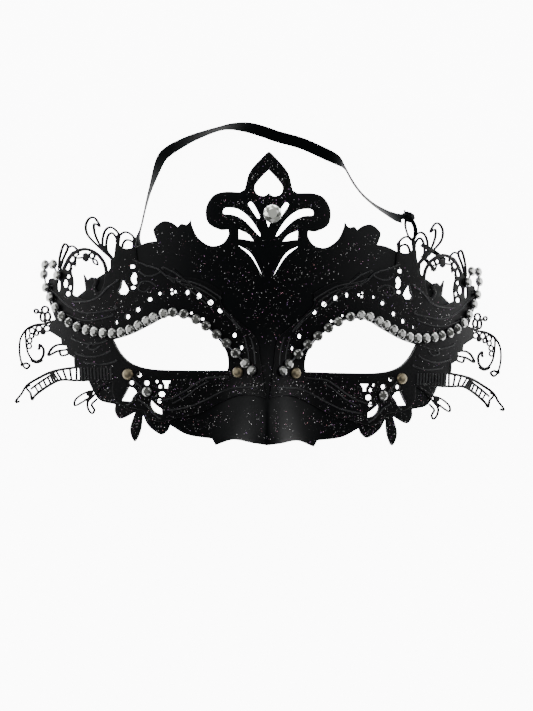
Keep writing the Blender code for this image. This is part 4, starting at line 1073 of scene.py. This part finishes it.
def cut_stone(solid, place, width, base, crown, seed):
    """A stone with an eight-sided table, star, kite and girdle facets."""
    radius = width / 2
    points = []
    for share, rise, sides, turn in STONE_RINGS:
        points += ring_points(place, radius * share, base + crown * rise, sides, turn)
    faces = [list(range(8))]
    for i in range(8):
        after, star, kite = (i + 1) % 8, 8 + i, 8 + (i + 7) % 8
        girdle = [16 + (2 * i + k) % 16 for k in range(3)]
        faces += [[i, star, after], [i, kite, girdle[0], star], [star, girdle[0], girdle[1]],
                  [star, girdle[1], girdle[2]]]
    for i in range(16):
        after = (i + 1) % 16
        faces.append([16 + i, 32 + i, 32 + after, 16 + after])
    faces.append([32 + i for i in range(16)][::-1])
    # Each facet gets a painted light value: lighter as it leans to a fixed light side, with a
    # random spread standing for painted reflections inside the stone.
    painted_facets = []
    for index, face in enumerate(faces):
        middle = sum((points[i] for i in face), Vector()) / len(face) - place.translation
        lean = (middle.y * PAINTED_LIGHT_SIDE[1] - middle.x * PAINTED_LIGHT_SIDE[0]) / radius
        value = FACET_MIDDLE + PAINTED_LIGHT_LEAN * lean + PAINTED_REFLECTION_SPREAD * (scattered(index, seed) - 0.5)
        painted_facets.append(min(1, max(0, value)))
    solid.add(points, faces, 0, painted_facets)


def cup(solid, place, width, height, claws):
    """A metal cup round a stone, with claws bent over its edge."""
    radius = width / 2
    profile = [(0.7, 0), (0.98, 0.12 * MM), (1.03, height), (0.94, height + 0.08 * MM)]
    turned(solid, place, [(radius * share, rise) for share, rise in profile], CUP_SIDES, 1)
    size = width * CLAW_SHARE
    claw = [(size, -0.3 * MM), (size, 0.12 * MM), (size * 0.5, 0.3 * MM)]
    for spot in ring_points(Matrix(), radius * 0.95, height, claws, 0.5):
        turned(solid, place @ Matrix.Translation(spot), claw, CLAW_SIDES, 1)


def set_stone(solid, place, seed):
    """One small stone in its cup."""
    cut_stone(solid, place, STONE_WIDTH * 0.96, CUP_HEIGHT, STONE_CROWN, seed)
    cup(solid, place, STONE_WIDTH * 0.98, CUP_HEIGHT * 0.9, 4)


def brad_solid(place, side):
    """A brass split brad at a grid place: domed head, shank and two folded legs."""
    radius = BRAD_HEAD_WIDTH / 2
    top = PIECE_GAP * 2 + LACE_THICKNESS
    width, reach, thickness = BRAD_LEG
    low = -SHELL_WALL - 2 * PIECE_GAP - thickness
    dome = [(radius * 0.9, 0), (radius, 0.16 * MM), (radius * 0.98, BRAD_RIM_HEIGHT)]
    for step in range(1, DOME_STEPS + 1):
        turn = step / DOME_STEPS * DOME_TURN
        dome.append((radius * 0.93 * math.cos(turn),
                     BRAD_RIM_HEIGHT + (BRAD_HEAD_HEIGHT - BRAD_RIM_HEIGHT) * math.sin(turn)))
    brad = Solid()
    spot = plumb(*on_grid(place, side), top)
    turned(brad, seat(*spot, top), dome, BRAD_HEAD_SIDES)
    foot = seat(*spot, low)
    shank = BRAD_SHANK_WIDTH / 2
    turned(brad, foot, [(shank, 0), (shank, top - low)], BRAD_SHANK_SIDES)
    for way in (0, math.pi):
        leg = foot @ Matrix.Rotation(way, 4, "Z")
        corners = [leg @ Vector((x, y, z)) for x, z in
                   ((0, 0), (reach, 0.1 * MM), (reach, thickness), (0, thickness))
                   for y in (-width / 2, width / 2)]
        brad.add(corners, [(0, 1, 3, 2), (2, 3, 5, 4), (4, 5, 7, 6), (6, 7, 1, 0),
                           (0, 2, 4, 6), (1, 7, 5, 3)])
    return brad


def chain_place(stone):
    """Grid place of a stone, counted along the chain."""
    for index, (start, end) in enumerate(zip(CHAIN_KEYS, CHAIN_KEYS[1:])):
        if stone <= end.stone:
            break
    around = [CHAIN_KEYS[max(index - 1, 0)], start, end,
              CHAIN_KEYS[min(index + 2, len(CHAIN_KEYS) - 1)]]
    places = [np.array((key.across, key.up), float) for key in around]
    return curve_between(*places, (stone - start.stone) / (end.stone - start.stone))


def smooth_run(rows, steps):
    """Smooth run of rows of numbers through the given ones."""
    last = len(rows) - 1
    path = []
    for index in range(last):
        after = rows[min(index + 2, last)]
        around = rows[max(index - 1, 0)], rows[index], rows[index + 1], after
        path.extend(curve_between(*around, step / steps) for step in range(steps))
    return [*path, rows[-1]]


def ribbon_rows():
    """Points and tilts along the ribbon, through its keys."""
    keys = [np.array((key.across * SQUARE, key.up * SQUARE, key.height * MM,
                      math.radians(key.tilt))) for key in RIBBON_ROUTE]
    rows = smooth_run(keys, RIBBON_STEPS)
    return [Vector(row[:3]) for row in rows], [row[3] for row in rows]


def knuckle_mesh(place):
    """The knot's pulled body, with folds round it."""
    ball = bmesh.new()
    verts = bmesh.ops.create_icosphere(ball, subdivisions=4, radius=0.5)["verts"]
    for vert in verts:
        turn = math.atan2(vert.co.y, vert.co.x)
        fold = math.sin(turn * 3 + vert.co.z * 9) + 0.6 * math.sin(turn * 5 - vert.co.z * 14)
        vert.co *= 1 + KNOT_FOLD * fold
    bmesh.ops.scale(ball, vec=Vector(KNOT_SIZE) * KNOT_SWELL, verts=verts)
    bmesh.ops.transform(ball, matrix=place @ Matrix.Translation(KNOT_RISE), verts=verts)
    mesh = bpy.data.meshes.new("ribbon_knuckle")
    ball.to_mesh(mesh)
    ball.free()
    mesh.uv_layers.new(name="ribbon")
    return mesh


def strip_runs(place):
    """Name, rows and width of each strip at the knot and of each loose end."""
    for name, route, width in KNOT_STRIPS:
        yield name, [np.array((*(place @ (Vector(row[:3]) * MM)), row[3]))
                     for row in route], width
    for name, places, width in LOOSE_ENDS:
        spots = [on_grid(spot) for spot in places]
        yield name, [np.array((x, y, face_height(x, y) - LOOSE_DEPTH, LOOSE_TILT))
                     for x, y in spots], width


def strip_mesh(name, points, tilts, width, thickness, wide=8):
    """A flat ribbon along points, thin at its edges, with a flat map in metres."""
    corners, faces, flat = [], [], []
    run = 0.0
    rows = len(points)
    ring = 2 * wide
    for index, point in enumerate(points):
        ahead, behind = points[min(index + 1, rows - 1)], points[max(index - 1, 0)]
        along = (ahead - behind).normalized()
        level = Vector((0, 0, 1)).cross(along).normalized()
        out = along.cross(level)
        across = level * math.cos(tilts[index]) + out * math.sin(tilts[index])
        normal = along.cross(across)
        run += (point - behind).length if index else 0
        for side in (1, -1):
            for step in range(wide):
                spot = side * (step + 0.5) / wide * 2 - side
                bulge = math.sqrt(max(0.0, 1 - spot ** 6)) * 0.5 + 0.12 * (abs(spot) > 0.8)
                corners.append(point + across * (spot * width / 2)
                               + normal * (side * bulge * thickness))
                flat.append((spot * width / 2, run))
    for row in range(rows - 1):
        for i in range(ring):
            after = (i + 1) % ring
            faces.append([row * ring + i, row * ring + after, (row + 1) * ring + after,
                          (row + 1) * ring + i])
    faces.append(list(range(ring))[::-1])
    faces.append([(rows - 1) * ring + i for i in range(ring)])
    mesh = bpy.data.meshes.new(name)
    mesh.from_pydata(corners, [], faces)
    layer = mesh.uv_layers.new(name="ribbon")
    for loop in mesh.loops:
        layer.data[loop.index].uv = flat[loop.vertex_index]
    body = bmesh.new()
    body.from_mesh(mesh)
    bmesh.ops.recalc_face_normals(body, faces=body.faces)
    body.to_mesh(mesh)
    body.free()
    return mesh


def lace_regions():
    """Plate and strands of the right lace half."""
    holes = [trace(EYE_RIM)]
    holes += [trace(hole) for hole in LARGE_HOLES + LACE_HOLES]
    holes += [oval(hole) for hole in SMALL_HOLES + WINDOW_HOLES + TRIO_HOLES + WING_HOLES]
    regions = [Region(trace(LACE_EDGE), holes)]
    strands = list(STRANDS)
    for index in range(RUNG_COUNT):
        share = index / (RUNG_COUNT - 1)
        strands.append(Strand(RUNG_WIDTH, [between(RUNG_TOP, share), between(RUNG_FOOT, share)]))
    for cells, width in ((ARM_CELLS, ARM_CELL_STRAND), (LOOP_CROWN, LOOP_STRAND)):
        for cell in cells:
            regions.append(Region(oval(grown(cell, width)), [oval(grown(cell, -width))]))
    regions += [Region(oval(disc)) for disc in STRAND_NODES]
    for strand in strands:
        outer, inner = strand_bands(strand)
        regions.append(Region(outer, [] if inner is None else [inner]))
    return regions


def grown(hole, by):
    """The same oval, wider and higher."""
    return Hole(hole.across, hole.up, hole.width + by, hole.height + by)


def between(places, share):
    """Place at a share of the way along a run of places."""
    spot = share * (len(places) - 1)
    index = min(int(spot), len(places) - 2)
    start, end = np.array(places[index]), np.array(places[index + 1])
    return tuple(start + (end - start) * (spot - index))


def raised_regions():
    """Lines that stand up from the right lace half."""
    strands = list(RAISED_LINES)
    for index in range(RIB_COUNT):
        strands.append(Strand(RIB_ROW.width, [(across + index * RIB_STEP, up)
                                              for across, up in RIB_ROW.places]))
    return [Region(strand_bands(strand)[0]) for strand in strands]


class MaskSizes(bpy.types.PropertyGroup):
    """Sizes that a user would change."""

    point_spacing: bpy.props.FloatProperty(
        name="Point Spacing", description="Distance between the points on which the sheets bend",
        default=2.4 * MM, unit="LENGTH")
    shell_edge: bpy.props.FloatProperty(
        name="Shell Edge", description="Rounding of the moulded shell's edges",
        default=0.3 * MM, unit="LENGTH")
    lace_edge: bpy.props.FloatProperty(
        name="Lace Edge", description="Rounding of the enamelled lace's edges",
        default=0.2 * MM, unit="LENGTH")
    ribbon_width: bpy.props.FloatProperty(
        name="Ribbon Width", description="Width of the satin ribbon",
        default=6 * MM, unit="LENGTH")
    ribbon_thickness: bpy.props.FloatProperty(
        name="Ribbon Thickness", description="Thickness of the satin ribbon",
        default=0.45 * MM, unit="LENGTH")
    key_light: bpy.props.FloatProperty(
        name="Key Light", description="Power of each softbox", default=10.0, subtype="POWER")


class MaskColours(bpy.types.PropertyGroup):
    """Colours that a user would change."""

    shell: bpy.props.FloatVectorProperty(
        name="Shell", description="Moulded plastic", subtype="COLOR",
        default=(0.0008, 0.0011, 0.0013))
    lace: bpy.props.FloatVectorProperty(
        name="Lace", description="Enamelled metal", subtype="COLOR",
        default=(0.0006, 0.0007, 0.0009))
    # Lighter rims of shell and lace, partly wear and partly painted sheen.
    worn: bpy.props.FloatVectorProperty(
        name="Worn Edge", description="Rubbed edges", subtype="COLOR",
        default=(0.012, 0.0125, 0.0135))
    # Edges of the raised lines, lit by a painted sheen.
    line: bpy.props.FloatVectorProperty(
        name="Raised Line", description="Edges of the raised lines", subtype="COLOR",
        default=(0.1, 0.103, 0.106))
    stone: bpy.props.FloatVectorProperty(
        name="Stone", description="Cut stones", subtype="COLOR", default=(0.075, 0.077, 0.07))
    brass: bpy.props.FloatVectorProperty(
        name="Brass", description="Split brads", subtype="COLOR", default=(0.12, 0.102, 0.068))
    ribbon: bpy.props.FloatVectorProperty(
        name="Ribbon", description="Satin ribbon", subtype="COLOR",
        default=(0.0008, 0.0012, 0.0014))
    floor: bpy.props.FloatVectorProperty(
        name="Floor", description="Pale table top", subtype="COLOR", default=(0.9, 0.9, 0.9))


class MASK_OT_camera(bpy.types.Operator):
    """Camera above the mask, at the photograph's angle."""

    bl_idname = "mask.add_camera"
    bl_label = "Camera"

    def execute(self, context):
        flat_right = Vector((math.cos(CAMERA_YAW), 0, math.sin(CAMERA_YAW)))
        back = Vector((-math.sin(CAMERA_YAW), 0, math.cos(CAMERA_YAW)))
        north = Vector((0, 1, 0))
        right = flat_right * math.cos(CAMERA_ROLL) + north * math.sin(CAMERA_ROLL)
        up = north * math.cos(CAMERA_ROLL) - flat_right * math.sin(CAMERA_ROLL)
        width, height = PHOTO_SIZE
        across = (width / 2 - PHOTO_ORIGIN[0]) * SQUARE
        rise = (PHOTO_ORIGIN[1] - height / 2) * SQUARE
        data = bpy.data.cameras.new("photo_camera")
        data.sensor_width = SENSOR
        data.lens = SENSOR * (CAMERA_DISTANCE - SHARP_DEPTH) / (height * SQUARE)
        camera = bpy.data.objects.new("photo_camera", data)
        axes = Matrix((right, up, back)).transposed().to_4x4()
        spot = right * across + up * rise + back * CAMERA_DISTANCE
        camera.matrix_world = Matrix.Translation(spot) @ axes
        context.scene.collection.objects.link(camera)
        context.scene.camera = camera
        return {"FINISHED"}


class MASK_OT_ribbon(bpy.types.Operator):
    """Satin ribbon on the floor above the mask, with its knot and its loose end."""

    bl_idname = "mask.add_ribbon"
    bl_label = "Ribbon"

    def execute(self, context):
        sizes = context.scene.mask_sizes
        satin = material_for("satin")
        points, tilts = ribbon_rows()
        mesh = strip_mesh("ribbon_band", points, tilts, sizes.ribbon_width, sizes.ribbon_thickness)
        band = add_piece("ribbon_band", mesh, [satin], ["ribbon"], RIBBON_BLEND)
        knot_frame = seat(*on_grid(KNOT_PLACE), PIECE_GAP + LACE_THICKNESS / 2)
        knot = add_piece("ribbon_knuckle", knuckle_mesh(knot_frame), [satin],
                         ["ribbon_knot"], SHEET_BLEND)
        for name, rows, width in strip_runs(knot_frame):
            smooth = [Vector(row) for row in smooth_run(rows, RIBBON_STEPS)]
            mesh = strip_mesh(name, [row.xyz for row in smooth], [row.w for row in smooth],
                              width, STRIP_THICKNESS, STRIP_POINTS)
            add_piece(name, mesh, [satin], (), SHEET_BLEND)
        return {"FINISHED"}


class MASK_OT_shell(bpy.types.Operator):
    """Moulded shell with its crown, lobes, eye openings and glitter."""

    bl_idname = "mask.add_shell"
    bl_label = "Shell"

    def execute(self, context):
        sizes = context.scene.mask_sizes
        openings = [trace(HEART_HALF, False), trace(DROP_HALF, False), trace(EYE_RIM)]
        openings += [trace(slot) for slot in CROWN_SLOTS]
        openings += [trace(hole) for hole in LARGE_HOLES + SHELL_WINDOWS]
        openings += [oval(hole) for hole in SMALL_HOLES + [TRIO_OPENING]]
        region = Region(trace(SHELL_EDGE, False), openings)
        mesh = plate("moulded_shell", [region], -SHELL_WALL, 0.0, sizes.shell_edge,
                     sizes.point_spacing, half=True, glitter=SHELL_GLITTER)
        piece = add_piece("moulded_shell", mesh, [material_for("shell_black")],
                          ["base_shell"], SHEET_BLEND)
        other_half = piece.modifiers.new("other_half", "MIRROR")
        other_half.merge_threshold = MIRROR_MERGE
        weigh_normals(piece)
        return {"FINISHED"}


class MASK_OT_lace(bpy.types.Operator):
    """Both pierced lace halves, each with its raised lines."""

    bl_idname = "mask.add_lace"
    bl_label = "Lace"

    def execute(self, context):
        sizes = context.scene.mask_sizes
        top = PIECE_GAP + LACE_THICKNESS
        for word, side in SIDES:
            mesh = plate(f"pierced_lace_{word}", lace_regions(), PIECE_GAP, top, sizes.lace_edge,
                         sizes.point_spacing, side, glitter=LACE_GLITTER)
            piece = add_piece(f"pierced_lace_{word}", mesh, [material_for("lace_black")],
                              [f"filigree_{word}"], SHEET_BLEND)
            weigh_normals(piece)
            mesh = plate(f"raised_lines_{word}", raised_regions(), top - 0.1 * MM,
                         top + RAISED_HEIGHT, sizes.lace_edge, sizes.point_spacing, side)
            lines = add_piece(f"raised_lines_{word}", mesh, [material_for("raised_black")],
                              (), SHEET_BLEND)
            weigh_normals(lines)
        return {"FINISHED"}


class MASK_OT_stones(bpy.types.Operator):
    """Stone chains, flower stones and the crown's stone."""

    bl_idname = "mask.add_stones"
    bl_label = "Stones"

    def execute(self, context):
        lift = PIECE_GAP * 2 + LACE_THICKNESS
        finishes = [material_for("cut_stone"), material_for("cup_metal")]
        for word, side in SIDES:
            chain = Solid()
            seats = []
            for stone in range(STONES_PER_CHAIN):
                spot = plumb(*on_grid(chain_place(stone), side), lift + CUP_HEIGHT)
                seats.append(seat(*spot, lift))
                set_stone(chain, seats[-1], stone)
            for start, end in zip(seats, seats[1:]):
                along = end.translation - start.translation
                turn = along.to_track_quat("Z", "Y").to_matrix().to_4x4()
                link = Matrix.Translation(start.translation + start.col[2].xyz * 0.55 * MM) @ turn
                turned(chain, link, [(0.45 * MM, 0), (0.45 * MM, along.length)], 6, 1)
            add_piece(f"set_stones_{word}", chain.mesh(f"set_stones_{word}"), finishes,
                      [f"stone_chain_{word}"])
            single = Solid()
            place = seat(*plumb(*on_grid(FLOWER_STONE_PLACE, side), lift), lift)
            set_stone(single, place, 31 + side)
            add_piece(f"petal_stone_{word}", single.mesh(f"petal_stone_{word}"), finishes,
                      [f"flower_stone_{word}"])
        large = Solid()
        place = seat(*plumb(*on_grid(CROWN_STONE_PLACE), PIECE_GAP), PIECE_GAP)
        cut_stone(large, place, CROWN_STONE_WIDTH * 0.96, 1.6 * MM, 1.5 * MM, 50)
        cup(large, place, CROWN_STONE_WIDTH * 0.97, 1.5 * MM, 6)
        add_piece("large_stone", large.mesh("large_stone"),
                  [material_for("clear_crown"), material_for("silver_claw")],
                  ["crown_stone"])
        return {"FINISHED"}


class MASK_OT_brads(bpy.types.Operator):
    """Four brass split brads with domed heads and folded legs."""

    bl_idname = "mask.add_brads"
    bl_label = "Brads"

    def execute(self, context):
        for place_name, place in BRAD_PLACES.items():
            for word, side in SIDES:
                name = f"brass_brad_{place_name}_{word}"
                add_piece(name, brad_solid(place, side).mesh(name), [material_for("dull_brass")],
                          [f"{place_name}_brad_{word}"], BRAD_BLEND)
        return {"FINISHED"}


class MASK_OT_stage(bpy.types.Operator):
    """Pale floor, softboxes and an even pale surround."""

    bl_idname = "mask.add_stage"
    bl_label = "Floor and Light"

    def execute(self, context):
        scene = context.scene
        mesh = bpy.data.meshes.new("table_top")
        corners = [(x * TABLE_REACH, y * TABLE_REACH, 0) for x, y in
                   ((-1, -1), (1, -1), (1, 1), (-1, 1))]
        mesh.from_pydata(corners, [], [(0, 1, 2, 3)])
        material, tree, shader = start_material("pale_table", tuple(scene.mask_colours.floor), 0.7)
        bump_from(tree, shader, grain_of(tree, 400.0)["Height"], 0.05, 0.1 * MM)
        shader.inputs["Emission Color"].default_value = (1, 1, 1, 1)
        shader.inputs["Emission Strength"].default_value = FLOOR_GLOW
        mesh.materials.append(material)
        floor = bpy.data.objects.new("table_top", mesh)
        scene.collection.objects.link(floor)
        for name, spot, size, share in SOFTBOXES:
            data = bpy.data.lights.new(name, "AREA")
            data.shape = "RECTANGLE"
            data.size, data.size_y = size
            data.energy = scene.mask_sizes.key_light * share
            light = bpy.data.objects.new(name, data)
            light.location = spot
            light.rotation_euler = (-Vector(spot)).to_track_quat("-Z", "Y").to_euler()
            scene.collection.objects.link(light)
        world = bpy.data.worlds.new("pale_surround")
        world.use_nodes = True
        surround = world.node_tree.nodes["Background"]
        surround.inputs["Color"].default_value = SURROUND_COLOUR
        surround.inputs["Strength"].default_value = SURROUND_STRENGTH
        scene.world = world
        return {"FINISHED"}


class MASK_PT_panel(bpy.types.Panel):
    """Sizes, colours and steps of the mask."""

    bl_label = "Filigree Mask"
    bl_idname = "MASK_PT_panel"
    bl_space_type = "VIEW_3D"
    bl_region_type = "UI"
    bl_category = "Mask"

    def draw(self, context):
        layout = self.layout
        for group in (context.scene.mask_sizes, context.scene.mask_colours):
            for name in group.__annotations__:
                layout.prop(group, name)
        for step in STEPS:
            layout.operator(step.bl_idname)


STEPS = [MASK_OT_camera, MASK_OT_ribbon, MASK_OT_shell, MASK_OT_lace, MASK_OT_stones,
         MASK_OT_brads, MASK_OT_stage]
CLASSES = [MaskSizes, MaskColours, *STEPS, MASK_PT_panel]


def register():
    """Make the panel, its settings and its steps known."""
    for part in CLASSES:
        bpy.utils.register_class(part)
    bpy.types.Scene.mask_sizes = bpy.props.PointerProperty(type=MaskSizes)
    bpy.types.Scene.mask_colours = bpy.props.PointerProperty(type=MaskColours)


def unregister():
    """Take them away again."""
    del bpy.types.Scene.mask_colours
    del bpy.types.Scene.mask_sizes
    for part in reversed(CLASSES):
        bpy.utils.unregister_class(part)


def main():
    """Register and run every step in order."""
    register()
    bpy.ops.mask.add_camera()
    bpy.ops.mask.add_ribbon()
    bpy.ops.mask.add_shell()
    bpy.ops.mask.add_lace()
    bpy.ops.mask.add_stones()
    bpy.ops.mask.add_brads()
    bpy.ops.mask.add_stage()


if __name__ == "__main__":
    main()
